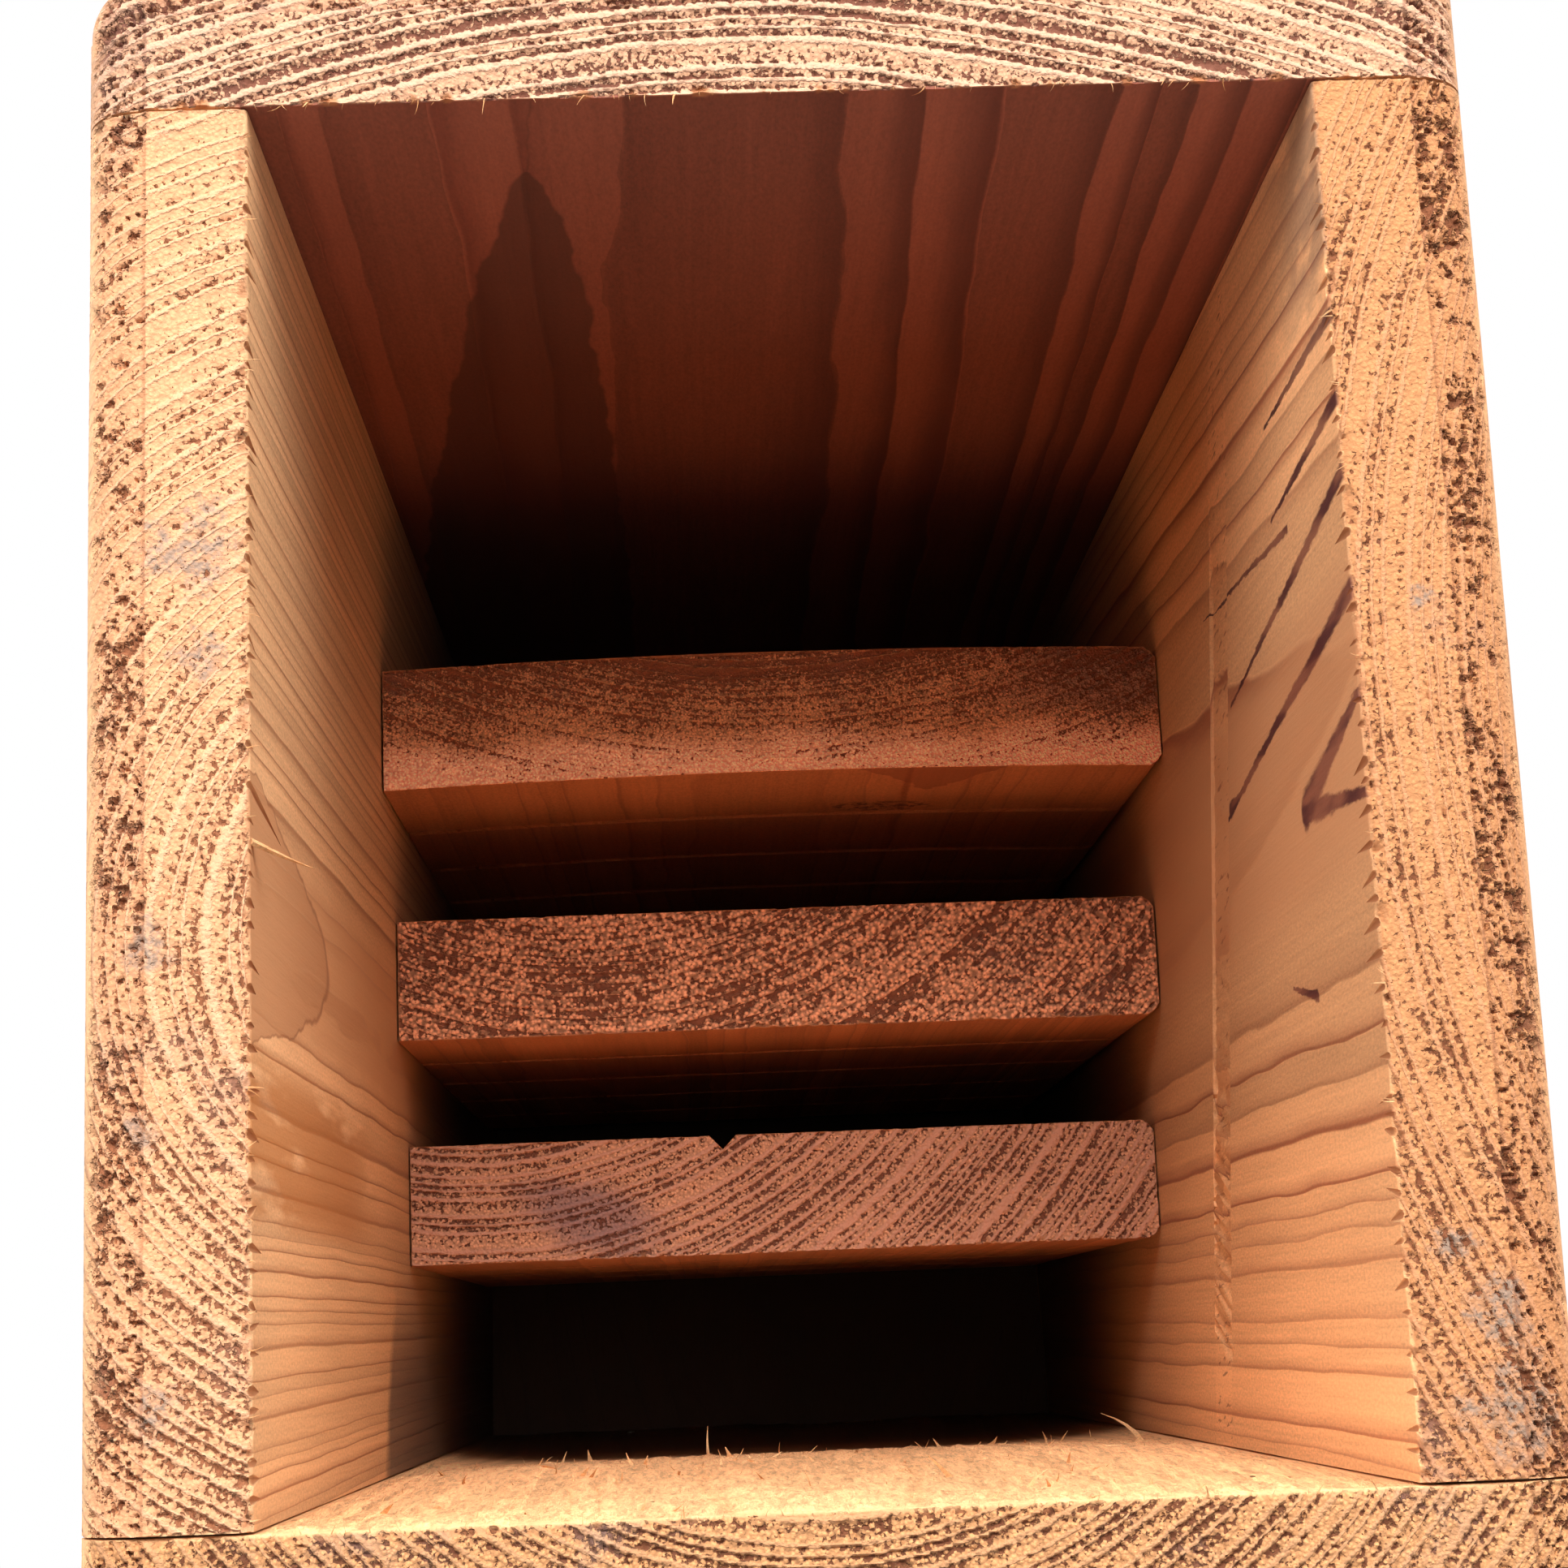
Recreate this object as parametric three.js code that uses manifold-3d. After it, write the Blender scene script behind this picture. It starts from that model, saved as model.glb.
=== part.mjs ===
// A small four-chamber bat house of cedar boards, in millimetres, +Z up.
// It stands on its open lower end at z = 0, with the origin under the middle of its whole box.
// The front is at -Y and the back, with its mounting tab, at +Y. It is laid out about the middle
// of the body, and moved as a whole at the end.
import * as THREE from 'three';
import { mergeVertices } from 'three/addons/utils/BufferGeometryUtils.js';
import { RoundedBoxGeometry } from 'three/addons/geometries/RoundedBoxGeometry.js';
import Module from 'manifold-3d';

const wasm = await Module();
wasm.setup();

// Driving dimensions
const BOARD = 22; // thickness of every board
const INNER_WIDTH = 140; // between the side boards
const INNER_DEPTH = 181; // width of a side board, from the front board to the back board
const BACK_HEIGHT = 540; // whole back board, with its tab above the roof
const SIDE_HEIGHT = 440; // height of the roof's underside where it meets the back board
const ROOF_SLOPE = THREE.MathUtils.degToRad(15);
const ROOF_WIDTH = 235;
const EAVE = 40; // how far the roof stands out in front of the front board
const EDGE_ROUND = 9; // round-over on the body's outer edges
const ROOF_ROUND = 5;
const GAP = 0.3; // clearance between touching pieces

// Partitions: how far each lower end stands above the open end, and the chamber in front of the
// back board, then between the partitions, in order from the back to the front
const PARTITION_ENDS = [152, 172, 189];
const CHAMBER_DEPTHS = [40, 20.5, 18];
const ROOF_CLEARANCE = 22; // from a partition's top to the roof
const EASED_CORNER = 2;
const KERF_PITCH = 44;
const KERF_WIDTH = 3.2;
const KERF_DEPTH = 1.8;
const NOTCH = { x: 11.3, width: 5, depth: 2.6 }; // V-groove down the front partition's back face

// A shallow stray saw cut across the left side's inner face: the y and height of its two ends
const STRAY_CUT = { back: [58, 85], front: [-74, 131], width: 15, depth: 0.6 };

// Screws and the tab's two mounting holes
const SCREW = { headRadius: 4.2, rim: 0.8, shankRadius: 2.1, length: 45, headDepth: 3.4, point: 7 };
const SCREW_SEGMENTS = 10;
const SCREW_SINK = 0.5;
const SEAT_OVERRUN = 2; // how far a screw's seat is cut past the surface
const MOUNT_HOLE = { radius: 3.5, x: 50, z: 508, segments: 16 };

// Screw rows: heights in the front and back boards, from a partition's ends, and level distances
// in front of the back board for the roof's
const FRONT_ROWS = [48, 212, 370];
const BACK_ROWS = [48, 222, 400];
const PARTITION_INSET = 32;
const ROOF_BACK_RUN = 40;
const ROOF_FRONT_RUN = 140;
const ROOF_EDGE_RUN = 187; // into the front board's top

// Facets on the rounds
const BODY_ROUND_SEGMENTS = 3;
const ROOF_ROUND_SEGMENTS = 2;
const EASE_SEGMENTS = 3;

const BODY_WIDTH = INNER_WIDTH + 2 * BOARD;
const BODY_DEPTH = INNER_DEPTH + 2 * BOARD;
const INNER_BACK = INNER_DEPTH / 2;
const INNER_SIDE = INNER_WIDTH / 2;
const SIDE_CENTRE = INNER_SIDE + BOARD / 2;
const FACE_CENTRE = INNER_BACK + BOARD / 2;

// Materials
const cedar = (color) => new THREE.MeshStandardMaterial({ color, roughness: 0.85, metalness: 0 });
const MATERIALS = {
  wall: cedar('#c98f5c'),
  dark_wall: cedar('#a8623f'),
  partition: cedar('#b37a4e'),
  roof: cedar('#bd8152'),
  screw: new THREE.MeshStandardMaterial({ color: '#8f9088', roughness: 0.45, metalness: 0.9 }),
};

// Booleans
function toSolid(geometry, matrix) {
  const bare = geometry.clone();
  if (matrix) bare.applyMatrix4(matrix);
  bare.deleteAttribute('normal');
  bare.deleteAttribute('uv');
  const merged = mergeVertices(bare);
  return new wasm.Manifold(new wasm.Mesh({
    numProp: 3,
    vertProperties: merged.attributes.position.array,
    triVerts: merged.index.array,
  }));
}

function toGeometry(solid) {
  const mesh = solid.getMesh();
  const geometry = new THREE.BufferGeometry();
  geometry.setAttribute('position', new THREE.BufferAttribute(mesh.vertProperties, 3));
  geometry.setIndex(new THREE.BufferAttribute(mesh.triVerts, 1));
  geometry.computeVertexNormals();
  return geometry;
}

function boxBetween(low, high) {
  const size = high.map((value, axis) => value - low[axis]);
  const centre = high.map((value, axis) => (value + low[axis]) / 2);
  return toSolid(new THREE.BoxGeometry(...size).translate(...centre));
}

// Frame of the sloped roof: its origin is where the underside meets the back board
const roofFrame = new THREE.Group();
roofFrame.position.set(0, INNER_BACK, SIDE_HEIGHT);
roofFrame.rotation.x = ROOF_SLOPE;
roofFrame.updateMatrix();

const roofHeight = (y) => SIDE_HEIGHT - (INNER_BACK - y) * Math.tan(ROOF_SLOPE);

// Everything above the roof's underside, less the gap
function aboveRoof() {
  const size = 2 * BACK_HEIGHT;
  const block = new THREE.BoxGeometry(size, size, size).translate(0, 0, size / 2 - GAP);
  return toSolid(block, roofFrame.matrix);
}

// The body's outer shape, rounded on every outer edge
function bodyEnvelope() {
  const block = new RoundedBoxGeometry(
    BODY_WIDTH, BODY_DEPTH, BACK_HEIGHT, BODY_ROUND_SEGMENTS, EDGE_ROUND,
  );
  return toSolid(block.translate(0, 0, BACK_HEIGHT / 2));
}

const envelope = bodyEnvelope();
const roofSpace = aboveRoof();

// Boards
function backBoard() {
  const half = BODY_WIDTH / 2;
  const blank = boxBetween([-half, INNER_BACK, 0], [half, BODY_DEPTH / 2, BACK_HEIGHT]);
  let board = blank.intersect(envelope);
  const { radius, x, z, segments } = MOUNT_HOLE;
  for (const side of [-1, 1]) {
    const hole = new THREE.CylinderGeometry(radius, radius, 2 * BOARD, segments);
    hole.translate(side * x, FACE_CENTRE, z);
    board = board.subtract(toSolid(hole));
  }
  return board;
}

function frontBoard() {
  const half = BODY_WIDTH / 2;
  const blank = boxBetween([-half, -BODY_DEPTH / 2, 0], [half, -INNER_BACK, SIDE_HEIGHT]);
  return blank.intersect(envelope).subtract(roofSpace);
}

function sideBoard(side) {
  const faces = [side * INNER_SIDE, side * BODY_WIDTH / 2].sort((a, b) => a - b);
  const reach = INNER_BACK - GAP;
  const blank = boxBetween([faces[0], -reach, 0], [faces[1], reach, SIDE_HEIGHT]);
  return blank.intersect(envelope).subtract(roofSpace);
}

function strayCut() {
  const { back, front, width, depth } = STRAY_CUT;
  const run = back[0] - front[0];
  const rise = front[1] - back[1];
  const cut = new THREE.BoxGeometry(2 * depth, Math.hypot(run, rise), width);
  cut.rotateX(-Math.atan2(rise, run));
  cut.translate(-INNER_SIDE, (back[0] + front[0]) / 2, (back[1] + front[1]) / 2);
  return toSolid(cut);
}

// Cross-section of a partition: two corners sharp, the two on the left side eased
function partitionSection(frontY, notched) {
  const left = -INNER_SIDE + GAP;
  const right = INNER_SIDE - GAP;
  const backY = frontY + BOARD;
  const shape = new THREE.Shape();
  shape.moveTo(right, frontY);
  shape.lineTo(right, backY);
  if (notched) {
    shape.lineTo(NOTCH.x + NOTCH.width / 2, backY);
    shape.lineTo(NOTCH.x, backY - NOTCH.depth);
    shape.lineTo(NOTCH.x - NOTCH.width / 2, backY);
  }
  const ease = EASED_CORNER;
  shape.lineTo(left + ease, backY);
  shape.absarc(left + ease, backY - ease, ease, Math.PI / 2, Math.PI, false);
  shape.lineTo(left, frontY + ease);
  shape.absarc(left + ease, frontY + ease, ease, Math.PI, 1.5 * Math.PI, false);
  shape.closePath();
  return shape;
}

function partition(frontY, end, notched) {
  const length = roofHeight(frontY) - ROOF_CLEARANCE - end;
  const section = partitionSection(frontY, notched);
  const options = { depth: length, bevelEnabled: false, curveSegments: EASE_SEGMENTS };
  let board = toSolid(new THREE.ExtrudeGeometry(section, options).translate(0, 0, end));
  for (let z = end + KERF_PITCH; z < end + length - KERF_PITCH / 2; z += KERF_PITCH) {
    const kerf = new THREE.BoxGeometry(2 * INNER_WIDTH, 2 * KERF_DEPTH, KERF_WIDTH);
    board = board.subtract(toSolid(kerf.translate(0, frontY, z)));
  }
  return { board, top: end + length };
}

function roofBoard() {
  const run = INNER_DEPTH + BOARD + EAVE;
  const length = run / Math.cos(ROOF_SLOPE);
  const spare = 2 * BOARD; // the length that the back board's face cuts off
  const block = new RoundedBoxGeometry(
    ROOF_WIDTH, length + spare, BOARD, ROOF_ROUND_SEGMENTS, ROOF_ROUND,
  );
  block.translate(0, (spare - length) / 2, BOARD / 2);
  const backSpace = boxBetween(
    [-ROOF_WIDTH, INNER_BACK - GAP, 0],
    [ROOF_WIDTH, INNER_BACK + 2 * spare, 2 * BACK_HEIGHT],
  );
  return toSolid(block, roofFrame.matrix).subtract(backSpace);
}

const solids = {
  back_board: backBoard(),
  front_board: frontBoard(),
  left_side: sideBoard(-1).subtract(strayCut()),
  right_side: sideBoard(1),
  roof_board: roofBoard(),
};
const boardMaterials = {
  back_board: MATERIALS.dark_wall,
  front_board: MATERIALS.wall,
  left_side: MATERIALS.wall,
  right_side: MATERIALS.wall,
  roof_board: MATERIALS.roof,
};

const PARTITION_NAMES = ['partition_back', 'partition_middle', 'partition_front'];
const partitions = [];
let backFace = INNER_BACK;
PARTITION_NAMES.forEach((name, index) => {
  const frontY = backFace - CHAMBER_DEPTHS[index] - BOARD;
  const end = PARTITION_ENDS[index];
  const { board, top } = partition(frontY, end, name === 'partition_front');
  solids[name] = board;
  boardMaterials[name] = MATERIALS.partition;
  partitions.push({ name, y: frontY + BOARD / 2, end, top });
  backFace = frontY;
});

// Screws: a lathed body whose head top is at the origin and whose point is down -Y.
// The same profile, grown by the gap and run out past the surface, cuts its hole.
function screwProfile(grow, above) {
  const { headRadius, rim, shankRadius, length, headDepth, point } = SCREW;
  return [
    new THREE.Vector2(0, -length - grow),
    new THREE.Vector2(shankRadius + grow, -length + point - grow),
    new THREE.Vector2(shankRadius + grow, -headDepth),
    new THREE.Vector2(headRadius + grow, -rim),
    new THREE.Vector2(headRadius + grow, above),
    new THREE.Vector2(0, above),
  ];
}

const screwGeometry = new THREE.LatheGeometry(screwProfile(0, 0), SCREW_SEGMENTS);
const screwSpace = new THREE.LatheGeometry(screwProfile(GAP, SEAT_OVERRUN), SCREW_SEGMENTS);

const screwList = [];

// at: head centre on the board's surface. into: unit direction that the screw is driven in.
function placeScrew(name, at, into, boards, parent = null) {
  const screw = new THREE.Mesh(screwGeometry, MATERIALS.screw);
  screw.name = name;
  screw.quaternion.setFromUnitVectors(new THREE.Vector3(0, -1, 0), into);
  screw.position.copy(at).addScaledVector(into, SCREW_SINK);
  screw.updateMatrix();
  const matrix = screw.matrix.clone();
  if (parent) matrix.premultiply(parent.matrix);
  for (const board of boards) {
    solids[board] = solids[board].subtract(toSolid(screwSpace, matrix));
  }
  screwList.push({ screw, parent });
}

const SIDES = [['left', -1], ['right', 1]];
for (const [side, sign] of SIDES) {
  FRONT_ROWS.forEach((z, row) => {
    const at = new THREE.Vector3(sign * SIDE_CENTRE, -BODY_DEPTH / 2, z);
    const boards = ['front_board', `${side}_side`];
    placeScrew(`screw_front_${side}_${row + 1}`, at, new THREE.Vector3(0, 1, 0), boards);
  });
  BACK_ROWS.forEach((z, row) => {
    const at = new THREE.Vector3(sign * SIDE_CENTRE, BODY_DEPTH / 2, z);
    const boards = ['back_board', `${side}_side`];
    placeScrew(`screw_back_${side}_${row + 1}`, at, new THREE.Vector3(0, -1, 0), boards);
  });
  for (const { name, y, end, top } of partitions) {
    const rows = [['low', end + PARTITION_INSET], ['high', top - PARTITION_INSET]];
    for (const [row, z] of rows) {
      const at = new THREE.Vector3(sign * BODY_WIDTH / 2, y, z);
      const boards = [`${side}_side`, name];
      const into = new THREE.Vector3(-sign, 0, 0);
      placeScrew(`screw_${name}_${side}_${row}`, at, into, boards);
    }
  }
}

// Roof screws, in the roof's own frame: x, and the level distance in front of the back board
const ROOF_SCREWS = [
  ['roof_left_back', -SIDE_CENTRE, ROOF_BACK_RUN, 'left_side'],
  ['roof_right_back', SIDE_CENTRE, ROOF_BACK_RUN, 'right_side'],
  ['roof_left_front', -SIDE_CENTRE, ROOF_FRONT_RUN, 'left_side'],
  ['roof_right_front', SIDE_CENTRE, ROOF_FRONT_RUN, 'right_side'],
  ['roof_front_left', -INNER_WIDTH / 4, ROOF_EDGE_RUN, 'front_board'],
  ['roof_front_right', INNER_WIDTH / 4, ROOF_EDGE_RUN, 'front_board'],
];
for (const [name, x, run, board] of ROOF_SCREWS) {
  const at = new THREE.Vector3(x, -run / Math.cos(ROOF_SLOPE), BOARD);
  const boards = ['roof_board', board];
  placeScrew(`screw_${name}`, at, new THREE.Vector3(0, 0, -1), boards, roofFrame);
}

// The assembly
const batHouse = new THREE.Group();
batHouse.name = 'bat_house';
for (const [name, solid] of Object.entries(solids)) {
  const board = new THREE.Mesh(toGeometry(solid), boardMaterials[name]);
  board.name = name;
  batHouse.add(board);
}
for (const { screw, parent } of screwList) {
  (parent ?? batHouse).add(screw);
}
batHouse.add(roofFrame);

const wholeBox = new THREE.Box3().setFromObject(batHouse);
batHouse.position.y = -(wholeBox.min.y + wholeBox.max.y) / 2;

export default batHouse;
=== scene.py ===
"""The bat house, seen from below into its open end.

Every board is a lofted mesh, fine at its sawn end and coarser up its length, with a relief that
is worked out from the same growth rings that colour it.
"""
import math
from dataclasses import dataclass, replace
from functools import partial

import bpy
import numpy as np
from mathutils import Matrix, Vector


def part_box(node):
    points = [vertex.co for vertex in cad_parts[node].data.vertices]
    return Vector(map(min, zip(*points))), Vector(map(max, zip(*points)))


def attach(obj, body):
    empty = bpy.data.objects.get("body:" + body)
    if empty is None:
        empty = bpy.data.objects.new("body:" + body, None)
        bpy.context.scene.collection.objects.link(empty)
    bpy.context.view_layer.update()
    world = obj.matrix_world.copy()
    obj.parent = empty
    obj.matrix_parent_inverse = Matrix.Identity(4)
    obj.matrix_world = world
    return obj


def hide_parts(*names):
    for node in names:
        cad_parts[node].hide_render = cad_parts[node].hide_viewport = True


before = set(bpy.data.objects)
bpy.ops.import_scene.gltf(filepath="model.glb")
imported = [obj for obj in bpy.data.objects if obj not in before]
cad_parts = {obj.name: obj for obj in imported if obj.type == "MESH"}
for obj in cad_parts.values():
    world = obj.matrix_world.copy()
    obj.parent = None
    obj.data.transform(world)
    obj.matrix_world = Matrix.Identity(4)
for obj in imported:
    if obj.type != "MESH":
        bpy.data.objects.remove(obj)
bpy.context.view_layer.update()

MM = 0.001
BODY = "root"


# ---------------------------------------------------------------- places, from the frame

def node_box(name):
    low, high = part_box(name)
    return np.array(low), np.array(high)


BACK_LOW, BACK_HIGH = node_box("back_board")
FRONT_LOW, FRONT_HIGH = node_box("front_board")
LEFT_LOW, LEFT_HIGH = node_box("left_side")
RIGHT_LOW, RIGHT_HIGH = node_box("right_side")
ROOF_LOW, ROOF_HIGH = node_box("roof_board")

BOARD = BACK_HIGH[1] - BACK_LOW[1]
MIDDLE_Y = (LEFT_LOW[1] + LEFT_HIGH[1]) / 2
INNER_BACK = BACK_LOW[1]
INNER_FRONT = FRONT_HIGH[1]
INNER_SIDE = RIGHT_LOW[0]
ROOF_SLOPE = math.radians(15)
EDGE_ROUND = 9 * MM
ROOF_ROUND = 5 * MM
PARTITION_EASE = 2 * MM
BODY_ORIGIN = np.array([0.0, MIDDLE_Y, 0.0])
PARTITION_BACK_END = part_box("partition_back")[0][2]


# ---------------------------------------------------------------- node trees

class Net:
    """Adds nodes to one shader or geometry tree. Each call returns an output socket."""

    def __init__(self, tree):
        self.tree = tree

    def feed(self, socket, value):
        if isinstance(value, bpy.types.NodeSocket):
            self.tree.links.new(value, socket)
        else:
            socket.default_value = value

    def add(self, kind, inputs=(), output=0, **settings):
        node = self.tree.nodes.new(kind)
        for name, value in settings.items():
            setattr(node, name, value)
        pairs = inputs.items() if isinstance(inputs, dict) else enumerate(inputs)
        for key, value in pairs:
            self.feed(node.inputs[key], value)
        return node.outputs[output]

    def math(self, operation, *values, clamp=False):
        return self.add("ShaderNodeMath", values, operation=operation, use_clamp=clamp)

    def total(self, *values):
        result = values[0]
        for value in values[1:]:
            result = self.math("ADD", result, value)
        return result

    def times(self, *values):
        result = values[0]
        for value in values[1:]:
            result = self.math("MULTIPLY", result, value)
        return result

    def minus(self, first, second):
        return self.math("SUBTRACT", first, second)

    def over(self, first, second):
        return self.math("DIVIDE", first, second)

    def most(self, first, second):
        return self.math("MAXIMUM", first, second)

    def size(self, value):
        return self.math("ABSOLUTE", value)

    def length(self, across, along):
        return self.math("SQRT", self.total(self.times(across, across), self.times(along, along)))

    def vector(self, operation, *values):
        return self.add("ShaderNodeVectorMath", values, operation=operation)

    def drawn(self, point, share):
        """The point with its height times share, which draws a pattern out along the grain."""
        return self.vector("MULTIPLY", point, (1, 1, share))

    def split(self, vector):
        node = self.tree.nodes.new("ShaderNodeSeparateXYZ")
        self.feed(node.inputs[0], vector)
        return tuple(node.outputs)

    def noise(self, vector, scale, detail=2.0, roughness=0.5):
        inputs = {"Vector": vector, "Scale": scale, "Detail": detail, "Roughness": roughness}
        return self.add("ShaderNodeTexNoise", inputs)

    def stray(self, *inputs):
        """Noise about zero."""
        return self.minus(self.noise(*inputs), 0.5)

    def step(self, value, low, high, to_low=0.0, to_high=1.0):
        """Rises smoothly from to_low to to_high as value goes from low to high."""
        inputs = {"Value": value, "From Min": low, "From Max": high, "To Min": to_low,
                  "To Max": to_high}
        return self.add("ShaderNodeMapRange", inputs, interpolation_type="SMOOTHSTEP")

    def fall(self, value, low, high):
        """Falls smoothly from 1 to 0 as value goes from low to high."""
        return self.step(value, low, high, 1.0, 0.0)

    def lighten(self, colour, amount):
        return self.add("ShaderNodeHueSaturation", {"Value": amount, "Color": colour})

    def mix(self, factor, first, second, blend="MIX"):
        inputs = {0: factor, 6: first, 7: second}
        return self.add("ShaderNodeMix", inputs, output=2, data_type="RGBA", blend_type=blend)


def rgb(red, green, blue):
    return (red, green, blue, 1.0)


# ---------------------------------------------------------------- solid wood

@dataclass
class Wood:
    """A board as a piece of a log whose grain runs along its own Z. Lengths in metres."""
    pith: tuple  # the log's centre at z = 0, in the board's own x and y
    lean: tuple = (0.0, 0.0)  # how far the centre moves per metre of z
    spacing: float = 2.2 * MM
    wander: float = 1.5 * MM  # how far rings stray from true circles
    early: tuple = rgb(0.62, 0.315, 0.15)
    late: tuple = rgb(0.40, 0.165, 0.075)
    fade: float = 0.3  # how far a line is a gradual shade rather than a thin stroke
    line: float = 0.75  # how dark the latewood lines are on a planed face
    band: float = 0.25  # how much tone varies from ring to ring
    end_fibre: tuple = rgb(0.74, 0.47, 0.25)
    end_ridge: tuple = rgb(0.74, 0.46, 0.30)
    # the colour of the torn pits: darker wood, with painted shade in the hollows
    end_pit_and_shade: tuple = rgb(0.22, 0.075, 0.03)
    chip: tuple = rgb(0.42, 0.16, 0.06)
    pits: float = 0.5  # share of the earlywood that is torn out
    pit_scale: float = 1150.0
    tuft: float = 0.3  # how much the torn fibres' ends vary in brightness
    edge_holes: float = 1.0  # how far the rounded-over edge is torn into bigger holes
    pit_slope: float = 0.0  # how many more pits toward the back, per metre
    pit_middle: float = 0.0  # where along y, from the body's middle, the pits are as stated
    ridge: float = 0.42  # share of each ring that stands as a smooth ridge
    tighten: float = 0.0  # how much closer the rings lie further out, per square metre
    stain: float = 0.3
    rough_sawn: bool = False  # whether the board has a face left rough from the saw
    seed: float = 0.0


def ring_fields(net, point, wood):
    """The growth rings at a point: how far through its ring it is, and which ring."""
    x, y, z = net.split(point)
    placed = net.vector("ADD", point, (wood.seed, 0.37 * wood.seed, 0.11 * wood.seed))
    slow = net.noise(net.drawn(placed, 0.14), 15.0, 2.0)
    quick = net.noise(net.drawn(placed, 0.15), 170.0, 2.0)
    dx = net.minus(x, net.math("MULTIPLY_ADD", z, wood.lean[0], wood.pith[0]))
    dy = net.minus(y, net.math("MULTIPLY_ADD", z, wood.lean[1], wood.pith[1]))
    radius = net.length(dx, dy)
    stray = net.times(net.minus(slow, 0.5), 2 * wood.wander)
    shake = net.times(net.minus(quick, 0.5), 0.7 * MM)
    strayed = net.total(radius, stray, shake)
    ring = net.over(strayed, wood.spacing)
    ring = net.total(ring, net.times(strayed, strayed, wood.tighten))
    swell = net.times(net.math("SINE", net.times(ring, 1.7)), 0.3)
    drift = net.times(net.math("SINE", net.times(ring, 0.53)), 0.35)
    ring = net.total(ring, swell, drift)
    return net.math("FRACT", ring), net.math("FLOOR", ring)


def ring_tone(net, ring_number):
    """A fixed random tone from 0 to 1 for each ring."""
    return net.math("FRACT", net.times(net.math("SINE", net.times(ring_number, 12.9898)), 437.585))


def end_fields(net, point, wood, rings, strip):
    """Across the sawn end: latewood ridges, torn pits, and how far a spot is from a tuft's tip.

    strip: 1 on a rounded-over edge, where the cutter tore bigger holes.
    """
    fraction, number = rings
    flat = net.drawn(point, 0.4)
    grainy = net.noise(flat, wood.pit_scale, 3.0, 0.62)
    tufts = net.add("ShaderNodeTexVoronoi", {"Vector": flat, "Scale": 1.5 * wood.pit_scale})
    ragged = net.total(fraction, net.times(net.minus(grainy, 0.5), 0.5))
    low = 1 - wood.ridge - 0.08
    rise = net.step(ragged, low, low + 0.14)
    fall = net.fall(ragged, 0.88, 1.0)
    ridge = net.times(rise, fall)
    patchy = net.noise(point, 75.0, 2.0)
    uneven = net.times(net.minus(ring_tone(net, number), 0.5), 0.12)
    near_ridge = net.step(fraction, 0.0, 0.6, 0.05, -0.05)
    cover = net.times(net.minus(patchy, 0.5), 0.32)
    gaps = net.times(net.minus(tufts, 0.4), 0.22)
    _, y, _ = net.split(point)
    from_middle = net.minus(y, MIDDLE_Y + wood.pit_middle)
    level = net.total(grainy, near_ridge, uneven, cover, gaps,
                      net.times(from_middle, wood.pit_slope))
    threshold = 0.70 - 0.24 * wood.pits
    torn = net.step(level, threshold - 0.02, threshold + 0.05)
    pit = net.times(torn, net.minus(1.0, ridge))
    coarse = net.noise(flat, 480.0, 3.0, 0.7)
    holes = net.times(net.step(net.total(coarse, cover), 0.55, 0.63), strip, wood.edge_holes)
    return ridge, net.most(pit, holes), grainy, tufts


def relief_tree(name, wood, rough):
    """Geometry nodes that carve the sawn end's ridges and pits, and a rough-sawn face."""
    tree = bpy.data.node_groups.new(name, "GeometryNodeTree")
    tree.interface.new_socket("Geometry", in_out="INPUT", socket_type="NodeSocketGeometry")
    tree.interface.new_socket("Geometry", in_out="OUTPUT", socket_type="NodeSocketGeometry")
    net = Net(tree)
    source = net.add("NodeGroupInput")
    point = net.add("GeometryNodeInputPosition")
    normal = net.add("GeometryNodeInputNormal")
    strip = net.add("GeometryNodeInputNamedAttribute", {"Name": "round_over"}, data_type="FLOAT")
    rings = ring_fields(net, point, wood)
    ridge, pit, grainy, _ = end_fields(net, point, wood, rings, strip)
    end = net.add("GeometryNodeInputNamedAttribute", {"Name": "end_grain"}, data_type="FLOAT")
    swell = net.stray(point, 60.0, 2.0)
    depth = net.times(pit, net.total(net.times(strip, -0.40 * MM), -0.45 * MM))
    carved = net.total(
        net.times(ridge, 0.12 * MM), depth, net.times(swell, 0.5 * MM),
        net.times(grainy, 0.28 * MM), -0.32 * MM,
    )
    flat = net.times(net.stray(point, 25.0, 2.0), 0.25 * MM)
    height = net.total(net.times(end, carved), flat)
    if rough:
        face = net.add("GeometryNodeInputNamedAttribute", {"Name": "rough_face"},
                       data_type="FLOAT")
        long = net.drawn(point, 0.35)
        waves = net.stray(long, 55.0, 3.0, 0.55)
        fuzz = net.stray(long, 340.0, 3.0, 0.7)
        sawn = net.total(net.times(waves, 2.0 * MM), net.times(fuzz, 2.4 * MM))
        height = net.total(height, net.times(face, sawn))
    offset = net.vector("SCALE", normal)
    net.feed(offset.node.inputs["Scale"], height)
    moved = net.add("GeometryNodeSetPosition", {"Geometry": source, "Offset": offset})
    sink = tree.nodes.new("NodeGroupOutput")
    net.feed(sink.inputs[0], moved)
    return tree


def stains(net, point, amount):
    """Blue-grey weathering in soft patches."""
    cloud = net.noise(point, 38.0, 3.0, 0.6)
    speck = net.noise(point, 600.0, 2.0, 0.6)
    spread = net.step(net.total(cloud, net.times(speck, 0.25)), 0.68, 0.86)
    return net.times(spread, amount)


def new_material(name):
    material = bpy.data.materials.new(name)
    material.use_nodes = True
    return material, material.node_tree.nodes["Principled BSDF"], Net(material.node_tree)


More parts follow.
